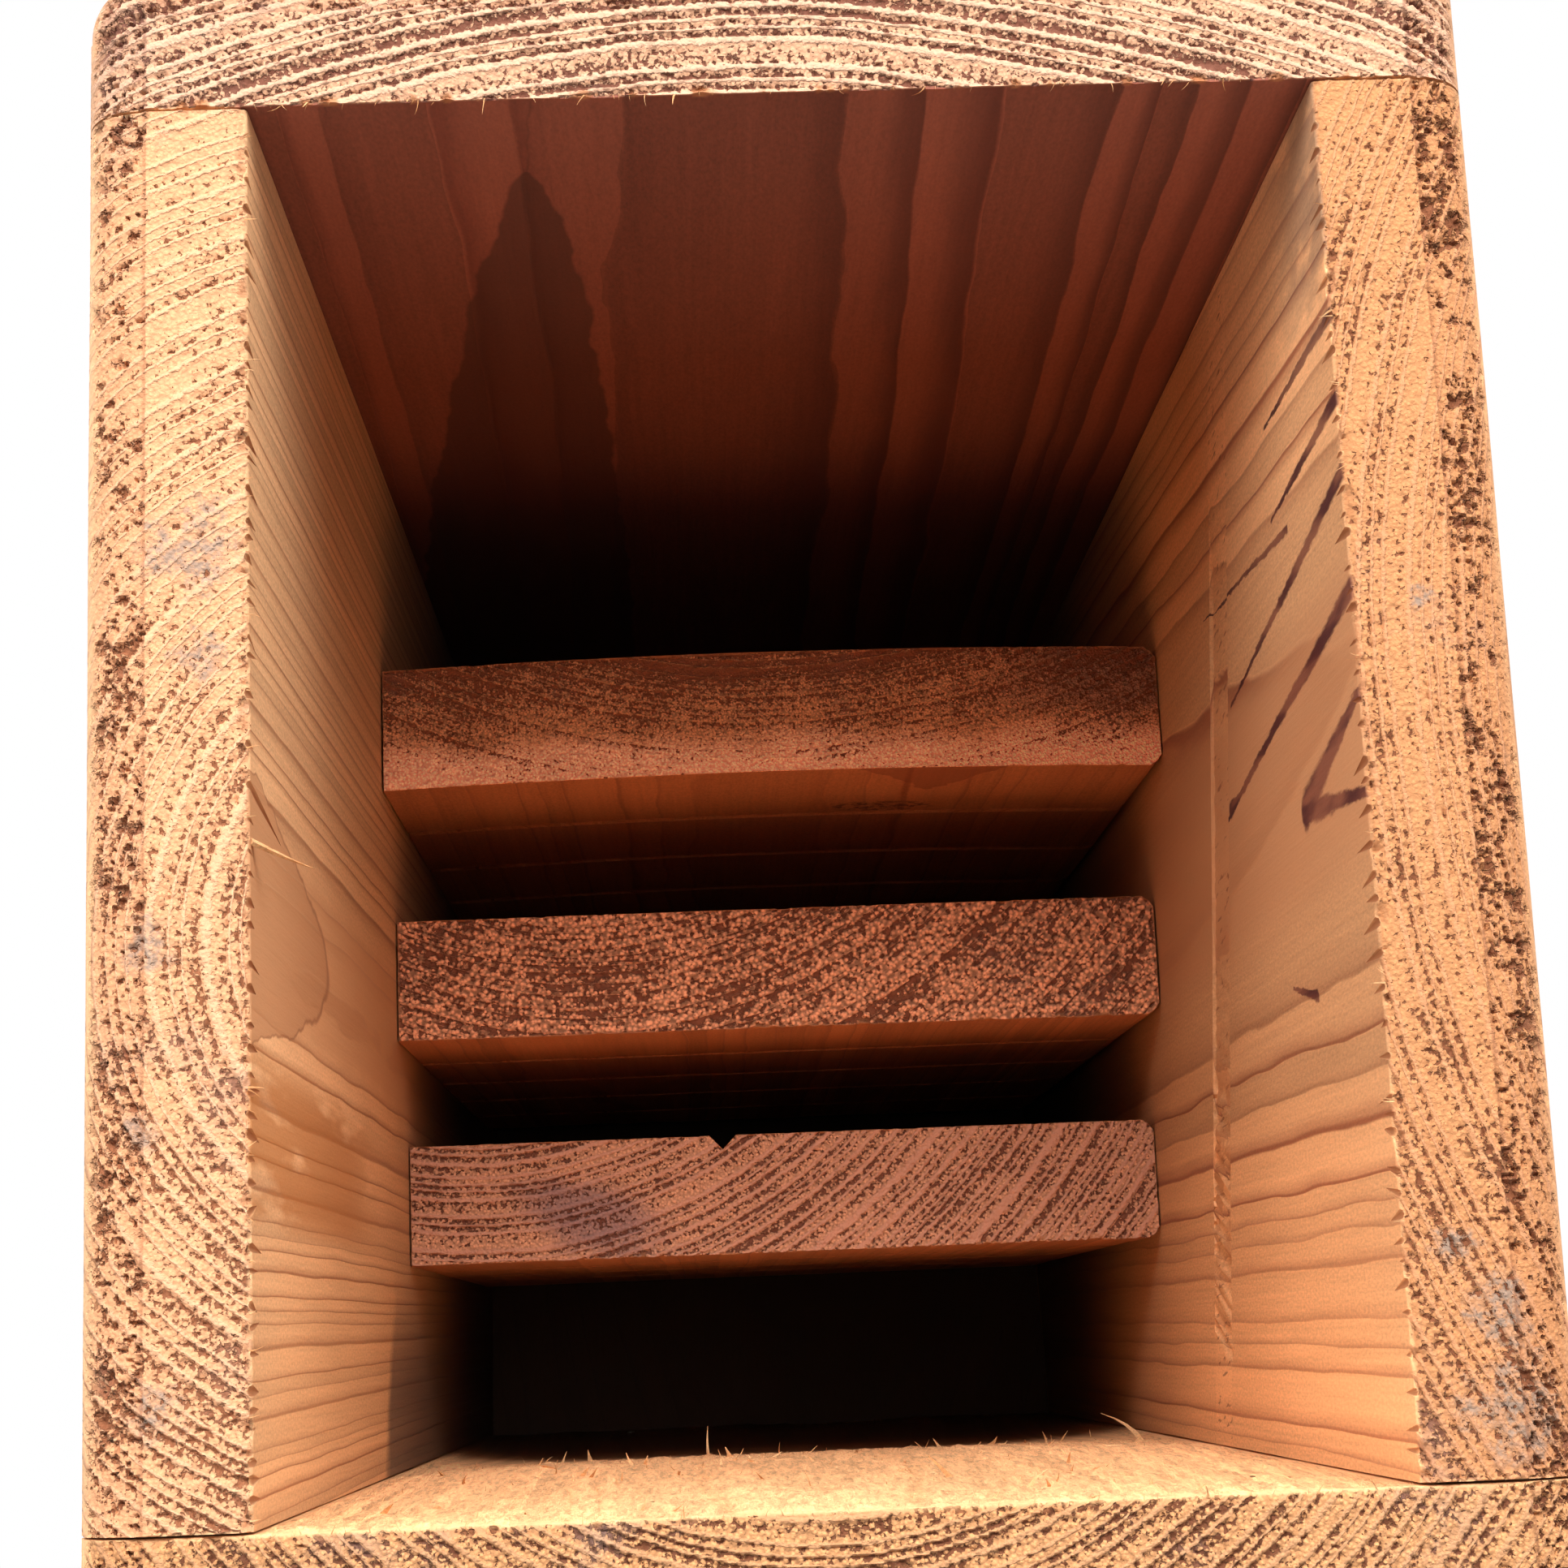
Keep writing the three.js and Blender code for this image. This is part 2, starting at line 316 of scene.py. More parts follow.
def wood_material(name, wood, extra=None, end_extra=None):
    """Cedar: planed long grain with growth-ring lines, and torn end grain where it is sawn."""
    material, shader, net = new_material(name)
    point = net.add("ShaderNodeTexCoord", output=3)
    end = net.add("ShaderNodeAttribute", output=2, attribute_name="end_grain")
    strip = net.add("ShaderNodeAttribute", output=2, attribute_name="round_over")
    chipped = net.add("ShaderNodeAttribute", output=2, attribute_name="chipped")

    rings = ring_fields(net, point, wood)
    fraction, number = rings
    tone = ring_tone(net, number)
    late = net.times(net.step(fraction, 0.5, 0.93), net.fall(fraction, 0.955, 1.0))
    thin = net.times(net.step(fraction, 0.84, 0.93), net.fall(fraction, 0.955, 1.0))
    late = net.total(net.times(late, wood.fade), net.times(thin, 1 - wood.fade))
    strength = net.times(late, net.step(tone, 0.0, 1.0, 0.4, 1.0), wood.line)
    face = net.mix(strength, wood.early, wood.late)
    cloud = net.noise(net.drawn(point, 0.12), 22.0, 3.0, 0.6)
    streak = net.noise(net.drawn(point, 0.02), 1000.0, 3.0, 0.6)
    fleck = net.noise(net.drawn(point, 0.35), 2300.0, 2.0, 0.6)
    shade = net.total(
        net.times(net.minus(tone, 0.5), wood.band),
        net.times(net.minus(cloud, 0.5), 0.5),
        net.times(net.minus(streak, 0.5), 0.4),
        net.times(net.minus(fleck, 0.5), 0.7),
        1.0,
    )
    face = net.lighten(face, shade)
    fuzz = 0.0
    if wood.rough_sawn:
        rough = net.add("ShaderNodeAttribute", output=2, attribute_name="rough_face")
        fuzz = net.noise(net.drawn(point, 0.14), 800.0, 4.0, 0.75)
        shaggy = net.step(fuzz, 0.32, 0.62, 0.85, 1.45)
        shaggy = net.lighten(face, shaggy)
        face = net.mix(rough, face, shaggy)
        fuzz = net.times(rough, fuzz, 3.5)
    if extra:
        face = extra(net, point, face, rings)

    ridge, pit, grainy, tufts = end_fields(net, point, wood, rings, strip)
    tips = net.total(net.times(grainy, 0.55), net.times(tufts, -0.4), 0.38)
    bright = net.step(tips, 0.3, 0.68, 1 - wood.tuft, 1 + wood.tuft)
    fibre = net.lighten(wood.end_fibre, bright)
    sawn = net.mix(ridge, fibre, wood.end_ridge)
    if end_extra:
        sawn = end_extra(net, point, sawn)
    # Painted shade: a dark line in the step along the shoulder of each round-over
    shoulder_shade_line = net.times(strip, net.minus(1.0, strip), 1.8)
    sawn = net.mix(net.times(strip, 0.12), sawn, wood.chip)
    # Pits and the shoulder line take the pit colour, partly painted shade in the hollows
    sawn = net.mix(net.most(net.times(pit, 0.94), shoulder_shade_line), sawn, wood.end_pit_and_shade)
    sawn = net.mix(stains(net, point, wood.stain), sawn, rgb(0.25, 0.21, 0.20))
    colour = net.mix(end, face, sawn)
    colour = net.mix(net.times(chipped, 0.75), colour, wood.chip)
    net.feed(shader.inputs["Base Color"], colour)

    roughness = net.total(0.66, net.times(end, 0.22), net.times(strength, -0.12))
    net.feed(shader.inputs["Roughness"], roughness)
    shader.inputs["Specular IOR Level"].default_value = 0.3

    planed = net.total(net.times(streak, 0.14), net.times(fleck, 0.09), net.times(strength, 0.08),
                       fuzz)
    torn = net.total(net.times(ridge, 0.3), net.times(pit, -1.2), net.times(grainy, 0.7),
                     net.times(tufts, -0.2 - wood.tuft))
    height = net.add("ShaderNodeMix", {0: end, 2: planed, 3: torn}, data_type="FLOAT")
    bump = net.add("ShaderNodeBump", {"Strength": 0.9, "Distance": 0.5 * MM, "Height": height})
    net.feed(shader.inputs["Normal"], bump)
    return material


# ---------------------------------------------------------------- board meshes

def perimeter(across, deep):
    """Grid corners round a rectangle of across by deep cells, as fractions of its sides."""
    bottom = [(i / across, 0.0) for i in range(across)]
    right = [(1.0, j / deep) for j in range(deep)]
    top = [(1 - i / across, 1.0) for i in range(across)]
    left = [(0.0, 1 - j / deep) for j in range(deep)]
    return np.array(bottom + right + top + left)


def loop_index(i, j, across, deep):
    """Place in the perimeter of the grid corner (i, j), or None if it lies inside."""
    if j == 0 and i < across:
        return i
    if i == across and j < deep:
        return across + j
    if j == deep and i > 0:
        return across + deep + (across - i)
    if i == 0 and j > 0:
        return 2 * across + deep + (deep - j)
    return None


def cap(points, loop_start, across, deep, height, upper):
    """Fills a loop with a grid of quads, adding its inner points to points."""
    index = np.zeros((across + 1, deep + 1), int)
    for i in range(across + 1):
        for j in range(deep + 1):
            place = loop_index(i, j, across, deep)
            if place is None:
                index[i, j] = len(points)
                points.append((i / across, j / deep, height))
            else:
                index[i, j] = loop_start + place
    a, b = index[:-1, :-1].ravel(), index[1:, :-1].ravel()
    c, d = index[1:, 1:].ravel(), index[:-1, 1:].ravel()
    quads = np.stack([a, b, c, d] if upper else [a, d, c, b], axis=1)
    return quads.tolist()


def band(low_start, low_count, high_start, high_count):
    """Faces between two loops, where one may have twice the other's points."""
    faces = []
    for k in range(min(low_count, high_count)):
        if low_count == high_count:
            nxt = (k + 1) % low_count
            faces.append((low_start + k, low_start + nxt, high_start + nxt, high_start + k))
        elif low_count > high_count:
            lows = [low_start + (2 * k + s) % low_count for s in range(3)]
            nxt = high_start + (k + 1) % high_count
            faces.append((*lows, nxt, high_start + k))
        else:
            highs = [high_start + (2 * k + s) % high_count for s in (2, 1, 0)]
            nxt = low_start + (k + 1) % low_count
            faces.append((low_start + k, nxt, *highs))
    return faces


def loft(cells, stations):
    """A closed box as fractions of its section and heights, with a grid that coarsens along it.

    cells: across and deep at the finest level. stations: (height, level) from the bottom up.
    """
    points, faces, loops = [], [], []
    for height, level in stations:
        across, deep = (max(1, n >> level) for n in cells)
        loops.append((len(points), 2 * (across + deep), across, deep))
        points += [(u, v, height) for u, v in perimeter(across, deep)]
    for low, high in zip(loops, loops[1:]):
        faces += band(low[0], low[1], high[0], high[1])
    faces += cap(points, loops[0][0], *loops[0][2:], stations[0][0], upper=False)
    faces += cap(points, loops[-1][0], *loops[-1][2:], stations[-1][0], upper=True)
    return np.array(points, float), faces


def stations_between(low, high, zones):
    """Heights from low to high. zones: (end of zone, step, level), in order."""
    heights, z = [], low
    for zone_end, step, level in zones:
        reach = min(zone_end, high)
        count = max(1, round((reach - z) / step))
        heights += [(z + (reach - z) * k / count, level) for k in range(count)]
        z = reach
    heights.append((high, zones[-1][2]))
    return heights


SHOULDER = 0.35 * MM


def round_over(points, low, high, inset_low, inset_high):
    """Rounds the edges between sides that have an inset, the radius of the round.

    The round lies a shoulder's depth below the faces it joins, as the cutter left it. Also
    returns how far each point is on a round, from 0 to 1.
    """
    inner_low, inner_high = low + inset_low, high - inset_high
    kept = np.clip(points, inner_low, inner_high)
    out = points - kept
    length = np.linalg.norm(out, axis=1)
    sizes = np.sort(np.abs(out), axis=1)
    scale = np.divide(sizes[:, 2], length, out=np.ones_like(length), where=length > 0)
    on_round = smoothstep(0.1 * MM, 0.5 * MM, sizes[:, 1])
    shoulder = np.divide(SHOULDER * on_round, length, out=np.zeros_like(length), where=length > 0)
    return kept + out * (scale - shoulder)[:, None], on_round


def mesh_object(name, points, faces):
    mesh = bpy.data.meshes.new(name)
    mesh.from_pydata(points.tolist(), [], faces)
    mesh.shade_smooth()
    piece = bpy.data.objects.new(name, mesh)
    bpy.context.scene.collection.objects.link(piece)
    return piece


def tube_faces(start, sides, rings):
    """Faces of a closed tube made of rings of points, numbered from start."""
    last = start + (rings - 1) * sides
    faces = []
    for a in range(start, last, sides):
        for side in range(sides):
            nxt = (side + 1) % sides
            faces.append((a + side, a + nxt, a + sides + nxt, a + sides + side))
    return faces + [tuple(range(start, start + sides))[::-1], tuple(range(last, last + sides))]


def add_attribute(piece, name, values):
    layer = piece.data.attributes.new(name, "FLOAT", "POINT")
    layer.data.foreach_set("value", np.asarray(values, np.float32))


def point_normals(piece):
    mesh = piece.data
    normals = np.empty(3 * len(mesh.vertices))
    mesh.vertex_normals.foreach_get("vector", normals)
    return normals.reshape(-1, 3)


def apply_modifiers(piece):
    graph = bpy.context.evaluated_depsgraph_get()
    mesh = bpy.data.meshes.new_from_object(
        piece.evaluated_get(graph), preserve_all_data_layers=True, depsgraph=graph)
    piece.modifiers.clear()
    piece.data = mesh


def carve(piece, wood, rough=False):
    relief = piece.modifiers.new("relief", "NODES")
    relief.node_group = relief_tree(piece.name + "_relief", wood, rough)
    apply_modifiers(piece)


def cut(piece, cutters):
    """Subtracts closed cutters from the piece, and removes them."""
    for cutter in cutters:
        modifier = piece.modifiers.new("cut", "BOOLEAN")
        modifier.operation = "DIFFERENCE"
        modifier.solver = "MANIFOLD"
        modifier.object = cutter
        cutter.hide_render = True
    apply_modifiers(piece)
    for cutter in cutters:
        bpy.data.objects.remove(cutter)


def finish_piece(piece, node, material, sharp=math.radians(50)):
    piece.data.materials.clear()
    piece.data.materials.append(material)
    piece.data.shade_smooth()
    piece.data.set_sharp_from_angle(angle=sharp)
    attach(piece, BODY)
    if node:
        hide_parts(node)


def smoothstep(low, high, value):
    t = np.clip((value - low) / (high - low), 0, 1)
    return t * t * (3 - 2 * t)


def wave_noise(rng, length, step):
    """Smooth one-dimensional noise over 0 to length, as a function."""
    knots = np.arange(0, length + 2 * step, step)
    heights = rng.uniform(-1.0, 1.0, len(knots))
    return lambda at: np.interp(at, knots, heights)


# Step sizes up a board: fine at the sawn end, coarser above
FINE = 0.4 * MM
END_ZONES = [(10 * MM, FINE, 0), (30 * MM, 2 * FINE, 1), (100 * MM, 4 * FINE, 2)]


def board_mesh(low, high, cells, zones, inset_low, inset_high):
    """A board from low to high, with its points, its faces, and how far each is on a round."""
    low, high = np.asarray(low, float), np.asarray(high, float)
    stations = stations_between(low[2], high[2], zones)
    points, faces = loft(cells, stations)
    points[:, :2] = low[:2] + points[:, :2] * (high - low)[:2]
    points, on_round = round_over(points, low, high, np.array(inset_low), np.array(inset_high))
    return points, faces, on_round


def mark_grain(piece, on_round, chipped):
    normals = point_normals(piece)
    add_attribute(piece, "end_grain", smoothstep(0.3, 0.75, np.abs(normals[:, 2])))
    add_attribute(piece, "round_over", on_round)
    add_attribute(piece, "chipped", chipped)


def soften(points, edge, outward, radius):
    """Rounds one straight edge. edge: its fixed coordinate by axis. outward: signs by axis."""
    a, b = edge
    into_a = (edge[a] - points[:, a]) * outward[a]
    into_b = (edge[b] - points[:, b]) * outward[b]
    near = (into_a < radius) & (into_b < radius)
    off_a, off_b = radius - into_a[near], radius - into_b[near]
    length = np.hypot(off_a, off_b)
    scale = np.maximum(off_a, off_b) / np.maximum(length, 1e-9)
    points[near, a] = edge[a] - outward[a] * (radius - off_a * scale)
    points[near, b] = edge[b] - outward[b] * (radius - off_b * scale)


def slope_top(points, start, top_at):
    """Moves the top of a board, above start, up or down to the sloped line top_at(y)."""
    peak = points[:, 2].max()
    above = points[:, 2] > start
    share = (points[above, 2] - start) / (peak - start)
    points[above, 2] = start + share * (top_at(points[above, 1]) - start)
    return points


def chip_edge(points, rng, edge, outward, along, depth, reach=1.6 * MM):
    """Breaks little chips out of a straight edge that runs along one axis.

    edge: the edge's two fixed coordinates by axis. outward: the two directions that a chip eats.
    """
    axes = sorted(edge)
    far = np.sqrt(sum((points[:, a] - edge[a]) ** 2 for a in axes))
    near = 1 - smoothstep(0.0, reach, far)
    run = points[:, along] - points[:, along].min()
    slow = wave_noise(rng, run.max(), 3.1 * MM)(run)
    quick = wave_noise(rng, run.max(), 0.9 * MM)(run)
    chip = np.clip(0.55 * slow + 0.6 * quick - 0.12, 0, 1)
    for a in axes:
        points[:, a] += outward[a] * depth * near * chip
    return smoothstep(0.08, 0.35, near * chip)


# ---------------------------------------------------------------- the woods of each board

def at_body(x, y):
    """A point given from the middle of the body, in the row frame."""
    return (x * MM, MIDDLE_Y + y * MM)


CEDAR = Wood(pith=(0, 0))
# Cedar with painted shade: darker colours for the partitions deep in the box, and less weathering
PAINTED_SHADE_CEDAR = replace(CEDAR, early=rgb(0.52, 0.19, 0.08), late=rgb(0.30, 0.09, 0.035), stain=0.1)
WOODS = {
    "back_board": replace(
        CEDAR, pith=at_body(7, -94.2), lean=(0.0, 0.004), spacing=2.1 * MM, wander=1.8 * MM,
        early=rgb(0.215, 0.062, 0.037), late=rgb(0.112, 0.027, 0.018), line=0.7, band=0.5,
        fade=0.7, pits=0.62, ridge=0.42, stain=0.15, seed=1.3, tuft=0.18, edge_holes=0.4,
        end_fibre=rgb(0.58, 0.31, 0.185), end_ridge=rgb(0.62, 0.36, 0.24),
        end_pit_and_shade=rgb(0.14, 0.042, 0.024)),
    "front_board": replace(
        CEDAR, pith=at_body(2, -36), spacing=1.8 * MM, wander=1.6 * MM, pits=0.58, ridge=0.34,
        rough_sawn=True,
        early=rgb(0.80, 0.45, 0.22), late=rgb(0.62, 0.30, 0.13), line=0.5, seed=2.9,
        end_fibre=rgb(0.57, 0.27, 0.115), end_ridge=rgb(0.52, 0.26, 0.125),
        end_pit_and_shade=rgb(0.13, 0.038, 0.016)),
    "right_side": replace(
        CEDAR, pith=at_body(40, -19), lean=(0.004, 0.01), spacing=2.1 * MM, wander=1.4 * MM,
        early=rgb(0.67, 0.39, 0.20), late=rgb(0.28, 0.105, 0.045), line=0.9,
        fade=0.5, pits=0.32, ridge=0.26, stain=0.2, seed=4.1, tuft=0.14,
        pit_slope=-0.7, end_fibre=rgb(0.67, 0.325, 0.165), end_ridge=rgb(0.70, 0.37, 0.21),
        end_pit_and_shade=rgb(0.25, 0.085, 0.036), chip=rgb(0.29, 0.10, 0.04)),
    "left_side": replace(
        CEDAR, pith=at_body(-240.8, 8), lean=(0.008, 0.02), spacing=1.9 * MM, wander=1.3 * MM,
        early=rgb(0.64, 0.335, 0.16), late=rgb(0.26, 0.085, 0.04), line=0.95, fade=0.6,
        pits=0.36, ridge=0.30, stain=0.2, seed=5.7, tuft=0.14, pit_slope=-0.4,
        end_fibre=rgb(0.52, 0.228, 0.094), end_ridge=rgb(0.53, 0.24, 0.112),
        end_pit_and_shade=rgb(0.19, 0.06, 0.024), chip=rgb(0.29, 0.10, 0.04)),
    "partition_back": replace(
        PAINTED_SHADE_CEDAR, pith=at_body(0, 190), spacing=1.5 * MM, pits=0.60, ridge=0.12,
        pit_slope=13.0, pit_middle=40 * MM,
        pit_scale=1500.0, tuft=0.4, seed=6.3, stain=0.2, end_fibre=rgb(0.94, 0.40, 0.19),
        end_ridge=rgb(0.90, 0.41, 0.20), end_pit_and_shade=rgb(0.30, 0.08, 0.033),
        chip=rgb(0.60, 0.24, 0.10)),
    "partition_middle": replace(
        PAINTED_SHADE_CEDAR, pith=at_body(35, 82), spacing=1.4 * MM, pits=0.68, ridge=0.10,
        pit_scale=800.0, tuft=0.6, seed=7.7, end_fibre=rgb(0.84, 0.345, 0.18),
        end_ridge=rgb(0.74, 0.31, 0.17), end_pit_and_shade=rgb(0.17, 0.045, 0.02)),
    "partition_front": replace(
        PAINTED_SHADE_CEDAR, pith=at_body(56, 43), spacing=2.7 * MM, tighten=900.0, pits=0.58,
        ridge=0.42, seed=8.9, end_fibre=rgb(0.60, 0.27, 0.15), end_ridge=rgb(0.57, 0.26, 0.165),
        end_pit_and_shade=rgb(0.14, 0.04, 0.02)),
    "roof_board": replace(
        CEDAR, pith=(20 * MM, -120 * MM), lean=(0.05, 0.1), spacing=2.4 * MM, seed=9.3,
        stain=0.4),
}


# The tongue of heartwood: how far it lies toward +X, how it leans per metre up, and its tip
HEART_X, HEART_LEAN, HEART_TIP = 32.8 * MM, 0.065, 24 * MM
# Its half width is this times the distance above the tip, in metres, to this power
HEART_WIDTH, HEART_POWER = 0.056, 0.62


def heartwood_tongue(net, point, face, rings):
    """A darker tongue of heartwood up the back board's inner face; its outside is paler."""
    x, y, z = net.split(point)
    grey = net.times(net.add("ShaderNodeRGBToBW", (face,)), 10.0)
    pale = net.mix(1.0, rgb(0.58, 0.31, 0.165), grey, "MULTIPLY")
    stray = net.stray(point, 45.0, 3.0, 0.6)
    leaning = net.math("MULTIPLY_ADD", z, -HEART_LEAN, -HEART_X)
    across = net.size(net.total(x, leaning, net.times(stray, 6 * MM)))
    rise = net.most(net.total(z, -HEART_TIP), 0.0)
    width = net.times(net.math("POWER", rise, HEART_POWER), HEART_WIDTH)
    inside = net.fall(net.minus(across, width), -0.4 * MM, 0.4 * MM)
    face = net.mix(net.times(inside, 0.72), face, rgb(0.055, 0.016, 0.010))
    fraction, _ = rings
    shaded = net.times(net.step(fraction, 0.25, 0.93), net.fall(fraction, 0.95, 1.0))
    banded = net.times(shaded, net.step(x, -12 * MM, 0.0, 0.55, 0.0))
    face = net.mix(banded, face, rgb(0.07, 0.02, 0.014))
    outside = net.most(net.step(net.size(x), INNER_SIDE, 0.074),
                       net.step(y, INNER_BACK + 1 * MM, INNER_BACK + 3 * MM))
    outside = net.most(outside, net.step(z, 436 * MM, 446 * MM))
    return net.mix(outside, face, pale)


def streak_mask(net, y, z, start, end, width):
    """1 within width of a line from start to end, given as (y, z) from the body's middle."""
    (y0, z0), (y1, z1) = start, end
    run_y, run_z = y1 - y0, z1 - z0
    from_y = net.minus(y, MIDDLE_Y + y0 * MM)
    from_z = net.minus(z, z0 * MM)
    length = (run_y ** 2 + run_z ** 2) * MM
    along = net.total(net.times(from_y, run_y / length), net.times(from_z, run_z / length))
    along = net.math("MULTIPLY", along, 1.0, clamp=True)
    off_y = net.minus(from_y, net.times(along, run_y * MM))
    off_z = net.minus(from_z, net.times(along, run_z * MM))
    far = net.length(off_y, off_z)
    taper = net.math("MULTIPLY_ADD", along, -0.75 * width * MM, width * MM)
    return net.fall(net.over(far, taper), 0.7, 1.25)


# Resin pockets in the left side: from and to, each (y, z) in mm, and half width in mm
RESIN = (((-1, 37), (8, -1), 2.6), ((-1, 38), (-6, -4), 1.9), ((58, 0), (57, 46), 1.1),
         ((47, -2), (43, 46), 1.3), ((37, -2), (25, 86), 1.3), ((22, -4), (8, 95), 1.7),
         ((9, 92), (10, 82), 1.3), ((39, 36), (43, 104), 0.6), ((-27, 38), (-24, 54), 0.8))

# The shallow stray saw cut across the left side's inner face
CUT_WIDTH, CUT_DEPTH = 15 * MM, 0.6 * MM
CUT_BACK = (MIDDLE_Y + 58 * MM, 85 * MM)
CUT_FRONT = (MIDDLE_Y - 74 * MM, 131 * MM)


def inner_face(net, x):
    """1 on the inner face of a side board, 0 in its thickness and outside."""
    return net.fall(net.size(x), INNER_SIDE + 0.8 * MM, INNER_SIDE + 1.8 * MM)


def painted_depth_shade(net, point, face, start=135 * MM):
    """The inner faces of the walls, with painted shade that grows dark up in the chambers from the
    height start.
    """
    x, y, z = net.split(point)
    within = net.times(inner_face(net, x),
                       net.step(y, INNER_FRONT - 3.5 * MM, INNER_FRONT - 2.5 * MM))
    high = net.step(z, start, 330 * MM)
    # Painted shade: near black up in the chambers
    return net.mix(net.times(within, high, 0.9), face, rgb(0.035, 0.013, 0.007))


def resin_streaks(net, point, face, rings):
    """The left side's inner face: red resin, grey weathering, and the stray saw cut's tearing."""
    x, y, z = net.split(point)
    outer = face
    fibres = net.drawn(point, 0.22)
    wide = net.times(net.stray(fibres, 70.0, 2.0), 2.2 * MM)
    fine = net.times(net.stray(fibres, 900.0, 3.0, 0.7), 1.6 * MM)
    y_stray = net.total(y, wide, fine)
    resin = 0.0
    for start, end, width in RESIN:
        resin = net.most(resin, streak_mask(net, y_stray, z, start, end, width))
    plain = net.times(net.step(y, MIDDLE_Y - 20 * MM, MIDDLE_Y - 6 * MM),
                      net.fall(y, MIDDLE_Y + 18 * MM, MIDDLE_Y + 30 * MM))
    face = net.mix(net.times(plain, 0.85), face, rgb(0.56, 0.265, 0.125))
    # Painted light: the wall lighter toward its front, where more light falls, and lighter again
    # toward its back
    tone = net.times(net.step(y, MIDDLE_Y - 78 * MM, MIDDLE_Y - 28 * MM, 1.38, 0.90),
                     net.step(y, MIDDLE_Y + 20 * MM, MIDDLE_Y + 60 * MM, 1.0, 1.35))
    face = net.lighten(face, tone)
    pooled = net.step(net.noise(fibres, 260.0, 2.0), 0.35, 0.65)
    dark = net.mix(pooled, rgb(0.15, 0.036, 0.026), rgb(0.05, 0.009, 0.011))
    face = net.mix(net.times(resin, net.step(pooled, 0.0, 1.0, 0.82, 0.97)), face, dark)
    patch = net.noise(net.drawn(point, 0.4), 110.0, 3.0, 0.6)
    near = net.times(net.fall(z, 4 * MM, 48 * MM),
                     net.step(y, MIDDLE_Y + 48 * MM, MIDDLE_Y + 72 * MM))
    grey = net.times(net.step(patch, 0.34, 0.56), near, 0.62)
    face = net.mix(grey, face, rgb(0.15, 0.10, 0.075))

    run_y, run_z = CUT_FRONT[0] - CUT_BACK[0], CUT_FRONT[1] - CUT_BACK[1]
    length = math.hypot(run_y, run_z)
    from_y = net.minus(y, CUT_BACK[0])
    from_z = net.minus(z, CUT_BACK[1])
    across = net.total(net.times(from_z, run_y / length), net.times(from_y, -run_z / length))
    along = net.total(net.times(from_y, run_y / length), net.times(from_z, run_z / length))
    half = CUT_WIDTH / 2
    inside = net.fall(net.size(across), half - 0.5 * MM, half + 0.1 * MM)
    lengthwise = net.total(net.times(along, 1.0), net.times(across, 0.5))
    slanted = net.add("ShaderNodeCombineXYZ", (net.times(across, 0.25), lengthwise, 0.0))
    marks = net.step(net.noise(slanted, 700.0, 2.0, 0.6), 0.60, 0.68)
    lighter = net.lighten(face, 1.06)
    face = net.mix(inside, face, lighter)
    face = net.mix(net.times(inside, marks, 0.7), face, rgb(0.20, 0.06, 0.025))
    inside = net.times(inside, net.step(along, 0.0, 12 * MM))
    end_part = net.times(net.step(along, 80 * MM, 100 * MM), net.fall(along, 123 * MM, 133 * MM))
    blotch = net.step(net.noise(point, 150.0, 3.0, 0.6), 0.46, 0.52)
    face = net.mix(net.times(inside, end_part, blotch, 0.55), face, rgb(0.48, 0.19, 0.075))
    # Painted shade up in the chambers, on the inner face only
    return net.mix(inner_face(net, x), outer, painted_depth_shade(net, point, face))


# The smooth tongue on the right side: how far its middle lies ahead of the body's, and its size
TONGUE_AHEAD, TONGUE_HALF_WIDTH, TONGUE_LENGTH = 14.6 * MM, 17.4 * MM, 78 * MM


def amber_stains(net, point, face, rings):
    """The right side's inner face: a smooth tongue, and orange resin along the grain below it."""
    x, y, z = net.split(point)
    outer = face
    stray = net.stray(point, 60.0, 3.0, 0.6)
    across = net.total(y, TONGUE_AHEAD - MIDDLE_Y, net.times(stray, 6 * MM))
    plain = net.times(net.fall(net.size(across), 9 * MM, 16 * MM), 0.8)
    face = net.mix(plain, face, rgb(0.58, 0.30, 0.145))
    reach = net.over(net.times(across, across), TONGUE_HALF_WIDTH ** 2)
    reach = net.total(reach, net.times(z, 1 / TONGUE_LENGTH))
    tongue = net.fall(reach, 0.93, 1.0)
    rim = net.times(tongue, net.minus(1.0, tongue), 2.6)
    face = net.mix(net.times(tongue, 0.9), face, rgb(0.50, 0.25, 0.12))
    face = net.mix(rim, face, rgb(0.24, 0.085, 0.035))
    patch = net.noise(net.drawn(point, 0.16), 95.0, 3.0, 0.6)
    low, high = MIDDLE_Y - 56 * MM, MIDDLE_Y - 30 * MM
    near = net.times(net.step(y, low, low + 6 * MM), net.fall(y, high - 6 * MM, high),
                     net.fall(z, 90 * MM, 150 * MM))
    amber = net.times(net.step(patch, 0.43, 0.53), near, 0.7)
    face = net.mix(amber, face, rgb(0.42, 0.155, 0.04))
    tone = net.step(y, MIDDLE_Y - 62 * MM, MIDDLE_Y - 30 * MM, 0.92, 1.0)
    face = net.lighten(face, tone)
    # Darker grey beyond a slanting line deep in the chamber, toward the front
    edge = net.total(z, net.times(y, -0.5), net.times(stray, 20 * MM), MIDDLE_Y / 2)
    dark_beyond_slant = net.times(net.fall(y, MIDDLE_Y - 78 * MM, MIDDLE_Y - 50 * MM),
                      net.step(edge, 186 * MM, 198 * MM))
    face = net.mix(net.times(dark_beyond_slant, 0.75), face, rgb(0.07, 0.05, 0.045))
    # Painted shade up in the chambers, on the inner face only
    return net.mix(inner_face(net, x), outer, painted_depth_shade(net, point, face))


